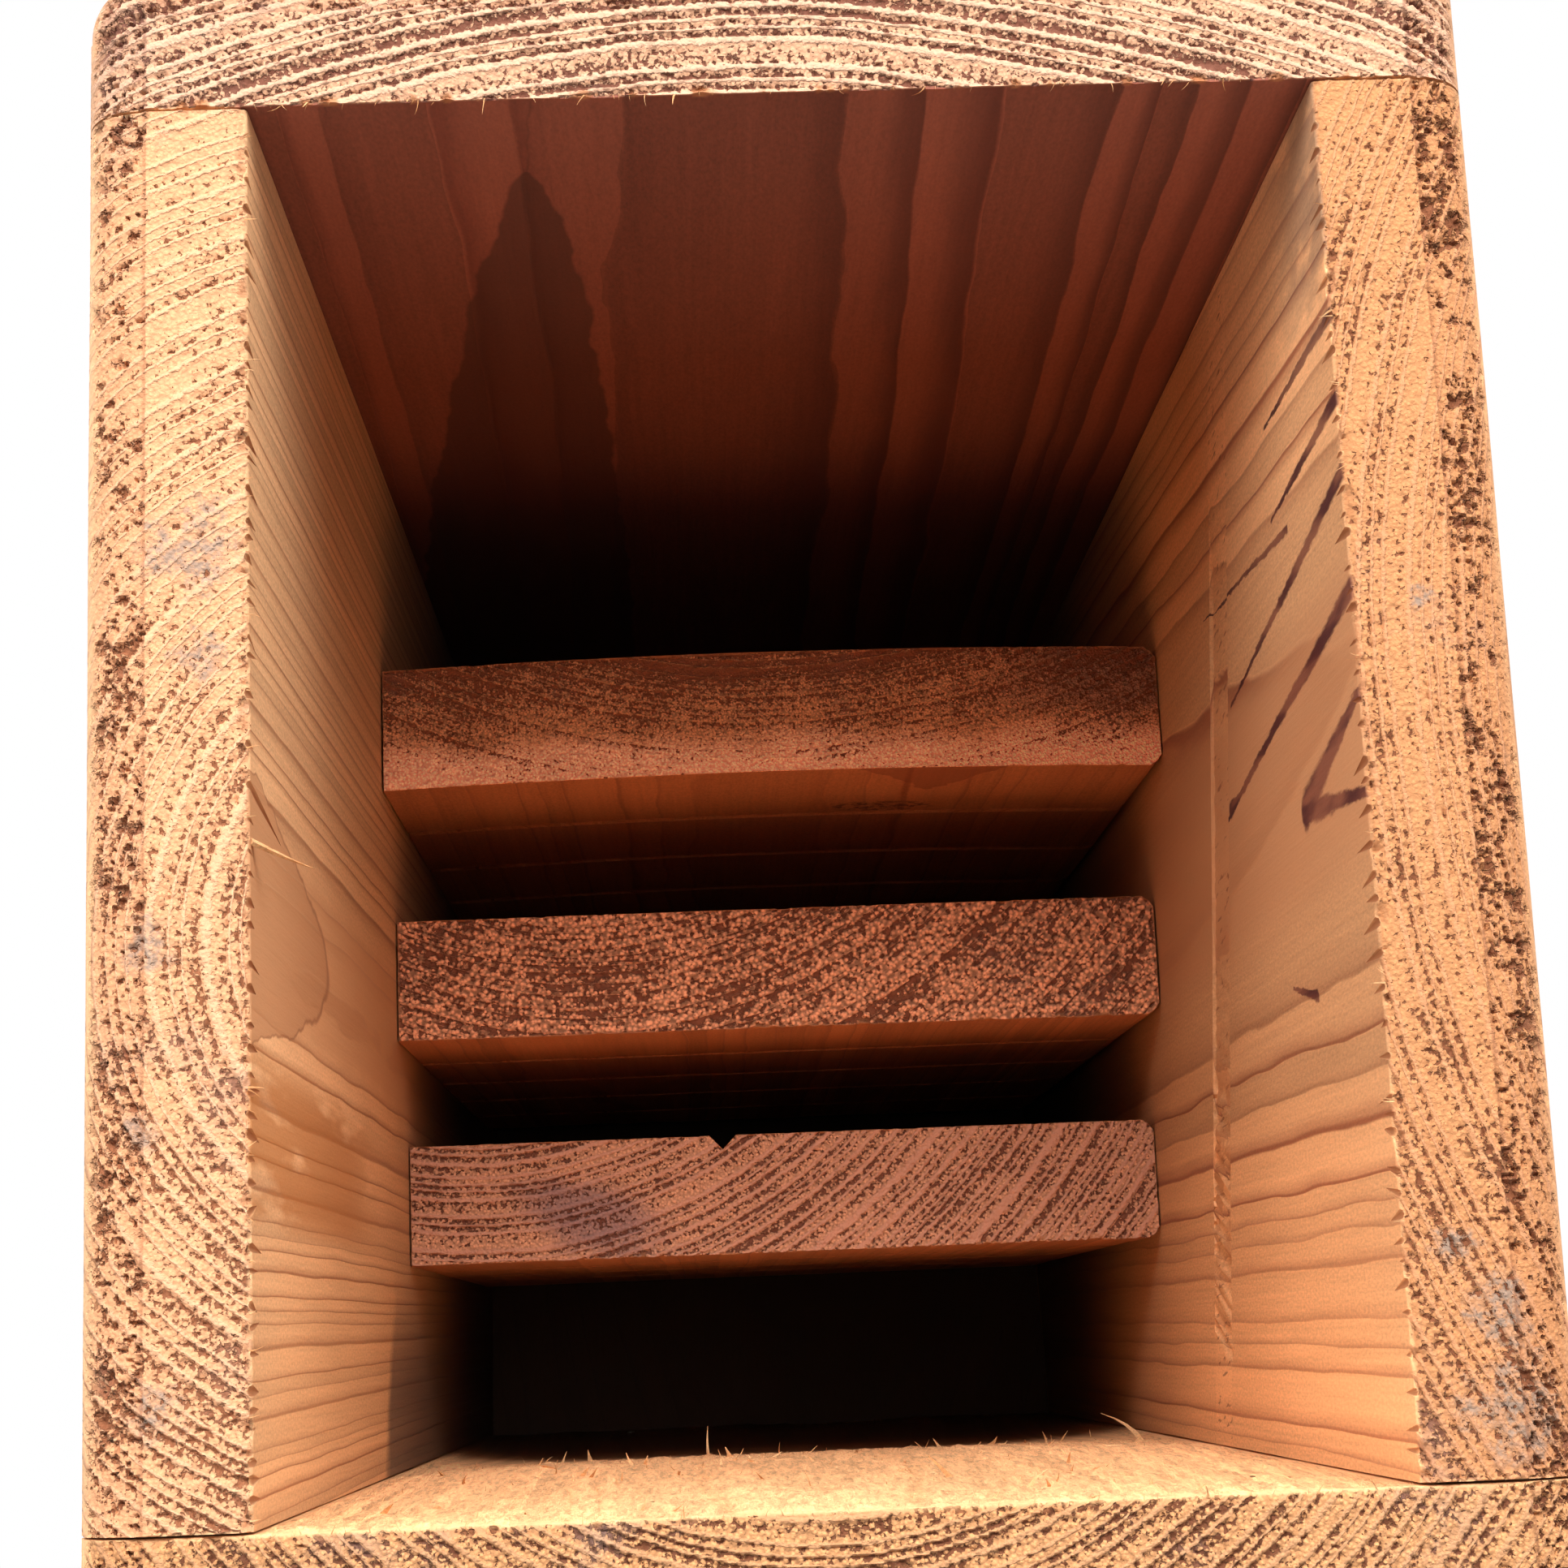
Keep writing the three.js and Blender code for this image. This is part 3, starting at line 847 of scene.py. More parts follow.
def front_painted_shade(net, point, face, rings):
    """The front board's inner face, with painted shade up in the front chamber."""
    return painted_depth_shade(net, point, face, 220 * MM)


def painted_shade_underside(net, point, face, rings):
    """The roof's underside, with painted shade where it closes the chambers."""
    x, y, _ = net.split(point)
    under = net.times(net.fall(y, 0.5 * MM, 2 * MM), net.fall(net.size(x), 71 * MM, 73 * MM), 0.96)
    return net.mix(under, face, rgb(0.020, 0.008, 0.005))


def painted_edge_light_and_shadow(net, point, sawn):
    """Painted light along the rear partition's front edge, and a grey-brown painted shadow high on
    its left end.
    """
    x, y, _ = net.split(point)
    stray = net.times(net.stray(point, 70.0, 3.0, 0.6), 9 * MM)
    low = MIDDLE_Y + 28.5 * MM
    pale = net.fall(net.total(y, stray), low + 4 * MM, low + 10 * MM)
    # Painted light: the front edge lighter, where more light falls on it
    lighter = net.add("ShaderNodeHueSaturation", {"Value": 1.7, "Saturation": 0.86, "Color": sawn})
    sawn = net.mix(pale, sawn, lighter)
    # Painted shadow of the back board across the upper left of the end
    left = net.fall(net.total(x, stray), -62 * MM, -30 * MM)
    high = net.step(net.total(y, stray), low + 8 * MM, low + 14 * MM)
    return net.mix(net.times(left, high, 0.55), sawn, rgb(0.22, 0.10, 0.085))


# Blue-grey weathering on the side boards' ends: x and y from the body's middle, and radius, in mm
RIGHT_SPOTS = ((77, 31, 7), (76, 17, 4), (83, -20, 4), (84, -42, 3), (82, -76, 4))
LEFT_SPOTS = ((-76, -62, 3), (-81, -70, 5), (-82, -82, 7), (-79, 20, 2))


def grey_spots(net, point, sawn, spots):
    x, y, _ = net.split(point)
    rough = net.stray(point, 260.0, 4.0, 0.7)
    amount = 0.0
    for spot_x, spot_y, radius in spots:
        off_x = net.minus(x, spot_x * MM)
        off_y = net.minus(y, MIDDLE_Y + spot_y * MM)
        far = net.length(off_x, off_y)
        level = net.total(net.over(far, radius * MM), net.times(rough, 3.0))
        amount = net.most(amount, net.fall(level, 0.3, 1.1))
    speckle = net.step(net.noise(point, 700.0, 3.0, 0.7), 0.40, 0.60, 0.25, 0.75)
    return net.mix(net.times(amount, speckle), sawn, rgb(0.21, 0.18, 0.155))


def purple_latewood(net, point, sawn):
    """Purple-grey mineral stain low on the front partition's end, toward its right."""
    x, y, _ = net.split(point)
    stray = net.times(net.stray(point, 120.0, 3.0, 0.6), 12 * MM)
    off_x = net.times(net.total(x, stray, -36 * MM), 0.5)
    off_y = net.total(y, stray, -MIDDLE_Y, 46 * MM)
    off_y = net.total(off_y, net.times(off_x, -0.5))
    far = net.length(off_x, off_y)
    return net.mix(net.times(net.fall(far, 3 * MM, 9 * MM), 0.6), sawn, rgb(0.17, 0.10, 0.12))


def torn_underside(net, point, face, rings):
    """A dark ragged patch in from the rear partition's end, and torn specks by its first kerf."""
    x, _, z = net.split(point)
    stray = net.times(net.stray(point, 160.0, 3.0, 0.65), 12 * MM)
    centre = net.size(net.total(x, 29 * MM))
    reach = net.total(net.times(centre, 1.6), z, stray, -PARTITION_BACK_END)
    patch = net.fall(reach, 21 * MM, 22 * MM)
    face = net.mix(net.times(patch, 0.6), face, rgb(0.25, 0.06, 0.03))
    off_x, off_z = net.total(x, 21 * MM), net.total(z, -PARTITION_BACK_END - 37 * MM)
    far = net.math("SQRT", net.total(net.times(off_x, off_x), net.times(off_z, off_z, 4.0)))
    specks = net.step(net.noise(point, 500.0, 3.0, 0.7), 0.46, 0.56)
    near = net.fall(far, 7 * MM, 12 * MM)
    return net.mix(net.times(near, specks, 0.85), face, rgb(0.10, 0.025, 0.012))


END_EXTRAS = {
    "partition_back": painted_edge_light_and_shadow,
    "partition_front": purple_latewood,
    "right_side": partial(grey_spots, spots=RIGHT_SPOTS),
    "left_side": partial(grey_spots, spots=LEFT_SPOTS),
}
EXTRAS = {
    "back_board": heartwood_tongue,
    "left_side": resin_streaks,
    "right_side": amber_stains,
    "front_board": front_painted_shade,
    "roof_board": painted_shade_underside,
    "partition_back": torn_underside,
}
MATERIALS = {
    name: wood_material("cedar_" + name, wood, EXTRAS.get(name), END_EXTRAS.get(name))
    for name, wood in WOODS.items()
}


# ---------------------------------------------------------------- body boards

def roof_underside(y):
    return LEFT_HIGH[2] - (LEFT_HIGH[1] - y) * math.tan(ROOF_SLOPE)


KERF_JITTER = 0.12 * MM
SIDE_CELLS = (56, 448)
FACE_CELLS = (464, 56)


def make_back_board():
    zones = END_ZONES + [(BACK_HIGH[2] - 14 * MM, 4 * MM, 3), (BACK_HIGH[2], 1 * MM, 2)]
    points, faces, on_round = board_mesh(
        BACK_LOW, BACK_HIGH, FACE_CELLS, zones, (EDGE_ROUND, 0, EDGE_ROUND), (EDGE_ROUND,) * 3)
    rng = np.random.default_rng(11)
    chipped = chip_edge(points, rng, {1: INNER_BACK, 2: 0.0}, {1: 1.0, 2: 0.6}, 0, 0.5 * MM)
    return points, faces, on_round, chipped


def front_bow(points):
    """How far the front board's inner face is off flat: full near the end, hollow higher up."""
    inside = 1 - np.clip(np.abs(points[:, 0]) / INNER_SIDE, 0, 1) ** 6
    on_face = 1 - smoothstep(0, 3 * MM, INNER_FRONT - points[:, 1])
    z = points[:, 2]
    rise = 1.4 * MM * smoothstep(0, 110 * MM, z)
    fall = 4.2 * MM * smoothstep(110 * MM, 300 * MM, z)
    back = 2.8 * MM * smoothstep(300 * MM, 370 * MM, z)
    return (rise - fall + back) * inside * on_face


def make_front_board():
    zones = END_ZONES[:2] + [(330 * MM, 6 * FINE, 2), (FRONT_HIGH[2], 4 * MM, 3)]
    points, faces, on_round = board_mesh(
        FRONT_LOW, FRONT_HIGH, FACE_CELLS, zones, (EDGE_ROUND,) * 3, (EDGE_ROUND, 0, 0))
    rng = np.random.default_rng(12)
    edge = {1: INNER_FRONT, 2: 0.0}
    soften(points, edge, {1: 1, 2: -1}, 1.2 * MM)
    chipped = chip_edge(points, rng, edge, {1: -1.0, 2: 0.8}, 0, 0.7 * MM)
    points[:, 1] += front_bow(points)
    return slope_top(points, 300 * MM, roof_underside), faces, on_round, 0.3 * chipped


def make_side(sign, low, high, seed):
    outer_low, outer_high = (EDGE_ROUND, 0) if sign < 0 else (0, EDGE_ROUND)
    zones = END_ZONES + [(high[2], 4 * MM, 3)]
    points, faces, on_round = board_mesh(
        low, high, SIDE_CELLS, zones, (outer_low, 0, EDGE_ROUND), (outer_high, 0, 0))
    rng = np.random.default_rng(seed)
    edge = {0: sign * INNER_SIDE, 2: 0.0}
    soften(points, edge, {0: -sign, 2: -1}, 1.2 * MM)
    chipped = chip_edge(points, rng, edge, {0: sign * 0.8, 2: 1.4}, 1, 0.8 * MM, 1.8 * MM)
    return slope_top(points, 320 * MM, roof_underside), faces, on_round, 0.25 * chipped


def rough_mask(points):
    """1 on the front board's inner face, fading at its edges, else 0."""
    on_face = 1 - smoothstep(0.0, 0.8 * MM, INNER_FRONT - points[:, 1])
    sides = 1 - smoothstep(INNER_SIDE - 2 * MM, INNER_SIDE, np.abs(points[:, 0]))
    return on_face * sides * smoothstep(0.5 * MM, 6 * MM, points[:, 2])


def kerf_cutter(name, start, end, into, width, depth, seed, fade=None):
    """A ragged bar along a saw kerf from start to end, sunk depth along into."""
    rng = np.random.default_rng(seed)
    start, end, into = (np.asarray(v, float) for v in (start, end, into))
    along = end - start
    length = np.linalg.norm(along)
    along /= length
    sideways = np.cross(into, along)
    count = max(2, int(length / (0.8 * MM)))
    points = []
    for k in range(count + 1):
        share = k / count
        centre = start + along * length * share
        sink = depth * (fade(share) if fade else 1.0)
        for out, side in ((-3 * MM, -1), (-3 * MM, 1), (sink, 1), (sink, -1)):
            wobble = rng.uniform(-KERF_JITTER, KERF_JITTER, 2)
            wobble *= 1 + 3 * smoothstep(0.62, 0.8, share)
            across = side * width / 2 + wobble[1]
            points.append(centre + into * (out + wobble[0]) + sideways * across)
    return mesh_object(name, np.array(points), tube_faces(0, 4, count + 1))


MOUNT_HOLE_RADIUS, MOUNT_HOLE_X, MOUNT_HOLE_BELOW_TOP = 3.5 * MM, 50 * MM, 32 * MM


def mount_hole(side):
    """A screw hole through the back board's tab."""
    reach = BOARD
    profile = [(0, -reach), (MOUNT_HOLE_RADIUS, -reach), (MOUNT_HOLE_RADIUS, reach), (0, reach)]
    hole = lathe("mount_hole", profile, 40)
    place = (side * MOUNT_HOLE_X, INNER_BACK + BOARD / 2, BACK_HIGH[2] - MOUNT_HOLE_BELOW_TOP)
    hole.matrix_world = Matrix.Translation(place) @ Matrix.Rotation(math.pi / 2, 4, "X")
    bpy.context.view_layer.update()
    return hole


SPLIT_Y, SPLIT_LENGTH = MIDDLE_Y + 1.3 * MM, 28 * MM


def rim_gouges(sign, seed):
    """Tapered tear-outs along a side board's inner rim, where the saw broke out."""
    rng = np.random.default_rng(seed)
    points, faces = [], []
    sides, rings = 8, 5
    y = INNER_FRONT + 4 * MM
    while y < INNER_BACK - 4 * MM:
        split = sign > 0 and abs(y - SPLIT_Y) < 2.5 * MM
        length = SPLIT_LENGTH if split else rng.uniform(3.0, 9.0) * MM
        girth = rng.uniform(0.45, 1.1) * MM
        lean = rng.normal(0, 0.10)
        start = len(points)
        for ring in range(rings):
            share = ring / (rings - 1)
            width = girth * (1.0 - 0.94 * share) if ring else 0.7 * girth
            z = -0.6 * MM + length * share
            for side in range(sides):
                angle = 2 * math.pi * side / sides
                points.append((sign * INNER_SIDE + 0.75 * width * math.cos(angle),
                               y + width * math.sin(angle) + lean * z, z))
        faces += tube_faces(start, sides, rings)
        y += 5 * MM if split else rng.uniform(2.2, 5.0) * MM
    gouges = mesh_object("gouges", np.array(points), faces)
    add_attribute(gouges, "chipped", np.ones(len(points)))
    return gouges


def stray_cut():
    """The shallow saw cut that strays across the left side's inner face, lost near the front."""
    start = (-INNER_SIDE, *CUT_BACK)
    end = (-INNER_SIDE, *CUT_FRONT)
    return kerf_cutter("stray_cut", start, end, (-1, 0, 0), CUT_WIDTH, CUT_DEPTH, 31,
                       fade=lambda share: smoothstep(-0.02, 0.12, share)
                       - 0.9 * smoothstep(0.7, 0.97, share))


def build_body():
    makers = {
        "back_board": (make_back_board, ()),
        "front_board": (make_front_board, ()),
        "left_side": (make_side, (-1, LEFT_LOW, LEFT_HIGH, 13)),
        "right_side": (make_side, (1, RIGHT_LOW, RIGHT_HIGH, 14)),
    }
    for node, (maker, values) in makers.items():
        points, faces, on_round, chipped = maker(*values)
        piece = mesh_object("cedar_" + node, points, faces)
        mark_grain(piece, on_round, chipped)
        rough = node == "front_board"
        if rough:
            add_attribute(piece, "rough_face", rough_mask(points))
        carve(piece, WOODS[node], rough)
        cutters = screw_cutters(node)
        if node == "left_side":
            cutters += [stray_cut(), rim_gouges(-1, 51)]
        if node == "right_side":
            cutters.append(rim_gouges(1, 52))
        if node == "back_board":
            cutters += [mount_hole(side) for side in (-1, 1)]
        if cutters:
            cut(piece, cutters)
        finish_piece(piece, node, MATERIALS[node])


# ---------------------------------------------------------------- torn fibres

SLIVER_RINGS = 5


def slivers(name, places, ways, lengths, widths, rng):
    """Thin tapered fibres, each curling a little from its place along its way."""
    points, faces = [], []
    for place, way, length, width in zip(places, ways, lengths, widths):
        way = way / np.linalg.norm(way)
        side = np.cross(way, rng.normal(size=3))
        side /= np.linalg.norm(side)
        other = np.cross(way, side)
        curl = rng.normal(0, 0.25, 2)
        start = len(points)
        for k in range(SLIVER_RINGS):
            t = k / (SLIVER_RINGS - 1)
            centre = place + way * length * t + (side * curl[0] + other * curl[1]) * length * t * t
            girth = width * (1 - 0.92 * t)
            for turn in (0, 1, 2):
                angle = 2 * math.pi * turn / 3
                points.append(centre + girth * (side * math.cos(angle)
                                                + 0.45 * other * math.sin(angle)))
        faces += tube_faces(start, 3, SLIVER_RINGS)
    return mesh_object(name, np.array(points), faces)


def sliver_material():
    """Pale raw fibre, lighter toward some tips."""
    material, shader, net = new_material("torn_fibre")
    point = net.add("ShaderNodeTexCoord", output=3)
    patch = net.noise(point, 160.0, 2.0)
    fine = net.noise(net.drawn(point, 0.2), 2500.0, 2.0)
    colour = net.mix(net.step(patch, 0.35, 0.65), rgb(0.70, 0.41, 0.20), rgb(0.50, 0.23, 0.09))
    colour = net.lighten(colour, net.step(fine, 0.3, 0.7, 0.8, 1.15))
    net.feed(shader.inputs["Base Color"], colour)
    shader.inputs["Roughness"].default_value = 0.75
    shader.inputs["Specular IOR Level"].default_value = 0.25
    bump = net.add("ShaderNodeBump", {"Strength": 0.4, "Distance": 0.1 * MM, "Height": fine})
    net.feed(shader.inputs["Normal"], bump)
    return material


def face_slivers(rng, count):
    """Fibres raised off the rough inner face of the front board, most of them short."""
    x = rng.uniform(-62, 62, count) * MM
    z = 4 * MM + 236 * MM * rng.random(count) ** 0.9
    y = np.full(count, INNER_FRONT)
    places = np.stack([x, y, z], axis=1)
    places[:, 1] += front_bow(places) - 0.4 * MM
    ways = np.stack([rng.normal(0, 0.5, count), np.abs(rng.normal(0.5, 0.35, count)),
                     rng.normal(0, 1.0, count)], axis=1)
    lengths = (0.5 + 2.6 * rng.random(count) ** 6) * MM
    widths = lengths * rng.uniform(0.10, 0.30, count)
    return places, ways, lengths, widths


def rim_slivers(rng, count):
    """Short fibres hanging from the inner edges of the open end."""
    along = rng.uniform(-1, 1, count)
    which = rng.integers(0, 4, count)
    places, ways = [], []
    half_depth = INNER_BACK - MIDDLE_Y
    for share, edge in zip(along, which):
        if edge < 2:
            sign = 1 if edge else -1
            x = sign * (INNER_SIDE + 0.3 * MM)
            places.append((x, MIDDLE_Y + share * half_depth, 0.2 * MM))
            ways.append((-sign, rng.normal(0, 0.4), rng.normal(-0.1, 0.3)))
        else:
            sign = 1 if edge == 3 else -1
            y = MIDDLE_Y + sign * (half_depth + 0.3 * MM)
            places.append((share * INNER_SIDE, y, 0.2 * MM))
            ways.append((rng.normal(0, 0.4), -sign, rng.normal(-0.1, 0.3)))
    lengths = (0.5 + 1.8 * rng.random(count) ** 4) * MM
    widths = lengths * rng.uniform(0.05, 0.12, count)
    return np.array(places), np.array(ways), lengths, widths


def build_fibres():
    rng = np.random.default_rng(71)
    material = sliver_material()
    pieces = {
        "fibres_front": (face_slivers(rng, 900), "front_board"),
        "fibres_rim": (rim_slivers(rng, 300), "side_boards"),
    }
    tall_places = np.array([(16, 0, 205), (-64, 0, 190), (44, 0, 215), (-18, 0, 60),
                            (-26, 0, 34), (2, 0, 46)]) * MM
    tall_places[:, 1] = INNER_FRONT + front_bow(tall_places) - 0.5 * MM
    tall_ways = np.array([(0.1, 1, 0.2), (0.5, 1, 0), (-0.2, 1, 0.4), (0.7, 0.9, 0.2),
                          (-0.4, 0.8, 0), (0.1, 1, -0.3)])
    tall_lengths = np.array([7.0, 8.0, 3.0, 4.5, 3.5, 3.0]) * MM
    tall = (tall_places, tall_ways, tall_lengths, 0.12 * tall_lengths)
    pieces["fibres_tall"] = (tall, "front_board")
    shaving_place = np.array([[INNER_SIDE - 0.1 * MM, SPLIT_Y - 8 * MM, 1.5 * MM]])
    shaving = (shaving_place, np.array([(-0.75, -0.35, 0.55)]), np.array([12 * MM]),
               np.array([0.8 * MM]))
    pieces["shaving_right"] = (shaving, "side_boards")
    for name, (shape, slot) in pieces.items():
        finish_piece(slivers(name, *shape, rng), None, material)


# ---------------------------------------------------------------- partitions

PARTITION_NAMES = ("partition_back", "partition_middle", "partition_front")
PARTITION_CELLS = (352, 56)
KERF_PITCH = 44 * MM
NOTCH_X, NOTCH_WIDTH, NOTCH_DEPTH = 11.3 * MM, 5 * MM, 2.6 * MM
CUP = 1.3 * MM


def partition_zones(low, high):
    base = low[2]
    return [(base + 3 * MM, FINE, 0), (base + 20 * MM, 2 * FINE, 1),
            (base + 100 * MM, 4 * FINE, 2), (high[2], 4 * MM, 3)]


def notch_cutter(low, high):
    top = high[1]
    half = NOTCH_WIDTH / 2
    rng = np.random.default_rng(23)
    points = []
    count = 60
    for k in range(count + 1):
        z = low[2] - 2 * MM + 60 * MM * k / count
        corners = ((NOTCH_X - 1.4 * half, top + 1 * MM), (NOTCH_X, top - NOTCH_DEPTH),
                   (NOTCH_X + 1.4 * half, top + 1 * MM))
        for x, y in corners:
            points.append((x + rng.normal(0, 0.05 * MM), y + rng.normal(0, 0.05 * MM), z))
    return mesh_object("notch", np.array(points), tube_faces(0, 3, count + 1))


def build_partition(name, seed):
    low, high = node_box(name)
    ease = PARTITION_EASE
    points, faces, on_round = board_mesh(
        low, high, PARTITION_CELLS, partition_zones(low, high),
        inset_low=(ease, ease, 0), inset_high=(0, ease, 0))
    if name == "partition_back":
        points[:, 1] += CUP * (1 - (points[:, 0] / INNER_SIDE) ** 2)
    rng = np.random.default_rng(seed)
    chipped = chip_edge(points, rng, {1: low[1], 2: low[2]}, {1: 1.0, 2: 0.8}, 0, 0.45 * MM)
    chip_edge(points, rng, {1: high[1], 2: low[2]}, {1: -1.0, 2: 0.8}, 0, 0.35 * MM)
    piece = mesh_object("cedar_" + name, points, faces)
    mark_grain(piece, 0 * on_round, 0.5 * chipped)
    carve(piece, WOODS[name])
    cutters = screw_cutters(name)
    z = low[2] + KERF_PITCH
    while z < high[2] - KERF_PITCH / 2:
        start, end = (low[0] - 2 * MM, low[1], z), (high[0] + 2 * MM, low[1], z)
        cutters.append(kerf_cutter("kerf", start, end, (0, 1, 0), 3.2 * MM, 1.8 * MM, seed + 1))
        z += KERF_PITCH
    if name == "partition_front":
        cutters.append(notch_cutter(low, high))
    cut(piece, cutters)
    finish_piece(piece, name, MATERIALS[name])


# ---------------------------------------------------------------- roof

ROOF_CELLS = (240, 24)
ROOF_GAP = 0.3 * MM  # between the roof and the tops of the walls


def build_roof():
    """The roof in its own frame: Z runs up the slope, Y out of its upper face."""
    up_slope = Vector((0, math.cos(ROOF_SLOPE), math.sin(ROOF_SLOPE)))
    out = Vector((0, -math.sin(ROOF_SLOPE), math.cos(ROOF_SLOPE)))
    x_axis = out.cross(up_slope)
    turn = Matrix((x_axis, out, up_slope)).transposed().to_4x4()
    hinge = Vector((0, ROOF_HIGH[1], roof_underside(LEFT_HIGH[1])))
    length = (ROOF_HIGH[1] - ROOF_LOW[1] - BOARD * math.sin(ROOF_SLOPE)) / math.cos(ROOF_SLOPE)
    half = (ROOF_HIGH[0] - ROOF_LOW[0]) / 2
    low = np.array([-half, ROOF_GAP, -length])
    high = np.array([half, BOARD, 0.0])
    zones = [(-length + 8 * MM, 1 * MM, 0), (-8 * MM, 4 * MM, 1), (0.0, 1 * MM, 1)]
    points, faces, on_round = board_mesh(
        low, high, ROOF_CELLS, zones, (ROOF_ROUND,) * 3, (ROOF_ROUND, ROOF_ROUND, 0))
    piece = mesh_object("cedar_roof_board", points, faces)
    # the upper end is cut upright, to meet the back board
    mesh = piece.data
    for vertex in mesh.vertices:
        near_top = smoothstep(-40 * MM, 0.0, vertex.co.z)
        vertex.co.z += near_top * vertex.co.y * math.tan(ROOF_SLOPE)
    mark_grain(piece, on_round, 0 * on_round)
    carve(piece, WOODS["roof_board"])
    piece.matrix_world = Matrix.Translation(hinge) @ turn
    bpy.context.view_layer.update()
    cut(piece, screw_cutters("roof_board"))
    finish_piece(piece, "roof_board", MATERIALS["roof_board"])


# ---------------------------------------------------------------- screws

HEAD_RADIUS = 4.2 * MM
SHANK_RADIUS = 2.1 * MM
SCREW_LENGTH = 45 * MM
HEAD_DEPTH = 3.4 * MM


def screw_places():
    """Head centre and driving direction of every screw node, from its own box."""
    places = {}
    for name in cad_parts:
        if not name.startswith("screw_"):
            continue
        low, high = node_box(name)
        size = high - low
        centre = (low + high) / 2
        if name.startswith("screw_roof"):
            into = Vector((0, math.sin(ROOF_SLOPE), -math.cos(ROOF_SLOPE)))
            y = low[1] + HEAD_RADIUS * math.cos(ROOF_SLOPE)
            z = low[2] + SCREW_LENGTH * math.cos(ROOF_SLOPE)
            head = Vector((centre[0], y, z))
        else:
            axis = int(np.argmax(size))
            middle = BODY_ORIGIN[axis]
            outward = 1.0 if centre[axis] > middle else -1.0
            into = Vector((0, 0, 0))
            into[axis] = -outward
            head = Vector(centre)
            head[axis] = high[axis] if outward > 0 else low[axis]
        places[name] = (head, into)
    return places


SCREW_PLACES = screw_places()
SCREW_HOSTS = {
    "front_board": "screw_front",
    "back_board": "screw_back",
    "roof_board": "screw_roof",
}


def lathe(name, profile, sides):
    """A closed body turned round Z from (radius, height) pairs, first and last on the axis."""
    points = [(0.0, 0.0, profile[0][1])]
    for radius, height in profile[1:-1]:
        for k in range(sides):
            angle = 2 * math.pi * k / sides
            points.append((radius * math.cos(angle), radius * math.sin(angle), height))
    points.append((0.0, 0.0, profile[-1][1]))
    rings = len(profile) - 2
    faces = []
    for k in range(sides):
        nxt = (k + 1) % sides
        faces.append((0, 1 + nxt, 1 + k))
        for r in range(rings - 1):
            a, b = 1 + r * sides, 1 + (r + 1) * sides
            faces.append((a + k, a + nxt, b + nxt, b + k))
        top = 1 + (rings - 1) * sides
        faces.append((top + k, top + nxt, len(points) - 1))
    return mesh_object(name, np.array(points), faces)


def screw_matrix(head, into):
    turn = into.to_track_quat("-Z", "Y").to_matrix().to_4x4()
    return Matrix.Translation(head) @ turn


def screw_cutters(node):
    """Countersunk seats for the screws whose heads lie in a board's outer face."""
    if node in ("left_side", "right_side"):
        side = node.split("_")[0]
        names = [n for n in SCREW_PLACES if n.startswith("screw_partition") and side in n]
    elif node in SCREW_HOSTS:
        names = [n for n in SCREW_PLACES if n.startswith(SCREW_HOSTS[node])]
    else:
        names = []
    grow = 0.25 * MM
    profile = [(0, -HEAD_DEPTH - 2 * MM), (SHANK_RADIUS, -HEAD_DEPTH - 2 * MM),
               (SHANK_RADIUS, -HEAD_DEPTH), (HEAD_RADIUS + grow, -0.6 * MM),
               (HEAD_RADIUS + grow, 3 * MM), (0, 3 * MM)]
    cutters = []
    for name in names:
        cutter = lathe("seat", profile, 28)
        cutter.matrix_world = screw_matrix(*SCREW_PLACES[name])
        cutters.append(cutter)
    bpy.context.view_layer.update()
    return cutters


def steel_material():
    """Dull zinc plate: a fine grain, with grey bloom and a little rust."""
    material, shader, net = new_material("zinc_steel")
    point = net.add("ShaderNodeTexCoord", output=3)
    cloud = net.noise(point, 500.0, 3.0, 0.6)
    fine = net.noise(point, 3000.0, 2.0)
    bloom = net.mix(net.step(cloud, 0.35, 0.7), rgb(0.50, 0.49, 0.46), rgb(0.33, 0.32, 0.30))
    rust = net.step(net.total(cloud, net.times(fine, 0.3)), 0.74, 0.86)
    colour = net.mix(net.times(rust, 0.7), bloom, rgb(0.20, 0.085, 0.035))
    net.feed(shader.inputs["Base Color"], colour)
    shader.inputs["Metallic"].default_value = 1.0
    net.feed(shader.inputs["Roughness"], net.step(cloud, 0.3, 0.75, 0.34, 0.62))
    bump = net.add("ShaderNodeBump", {"Strength": 0.35, "Distance": 0.05 * MM, "Height": fine})
    net.feed(shader.inputs["Normal"], bump)
    return material


def screw_mesh():
    """A countersunk screw, its head's top at the origin, with a square drive socket."""
    profile = [(0, -SCREW_LENGTH), (0.4 * MM, -SCREW_LENGTH + 0.8 * MM)]
    thread_start, pitch = -SCREW_LENGTH + 7 * MM, 1.6 * MM
    z = thread_start
    while z < -16 * MM:
        profile += [(SHANK_RADIUS * 0.72, z), (SHANK_RADIUS, z + 0.5 * pitch)]
        z += pitch
    profile += [(SHANK_RADIUS * 0.8, -15 * MM), (SHANK_RADIUS * 0.8, -HEAD_DEPTH - 0.5 * MM),
                (SHANK_RADIUS, -HEAD_DEPTH), (HEAD_RADIUS, -0.7 * MM),
                (HEAD_RADIUS, -0.25 * MM), (HEAD_RADIUS - 0.25 * MM, 0), (0, 0)]
    screw = lathe("screw_master", profile, 36)
    bpy.ops.mesh.primitive_cube_add(size=1)
    socket = bpy.context.object
    socket.scale = (2.9 * MM, 2.9 * MM, 5 * MM)
    bpy.context.view_layer.update()
    cut(screw, [socket])
    return screw


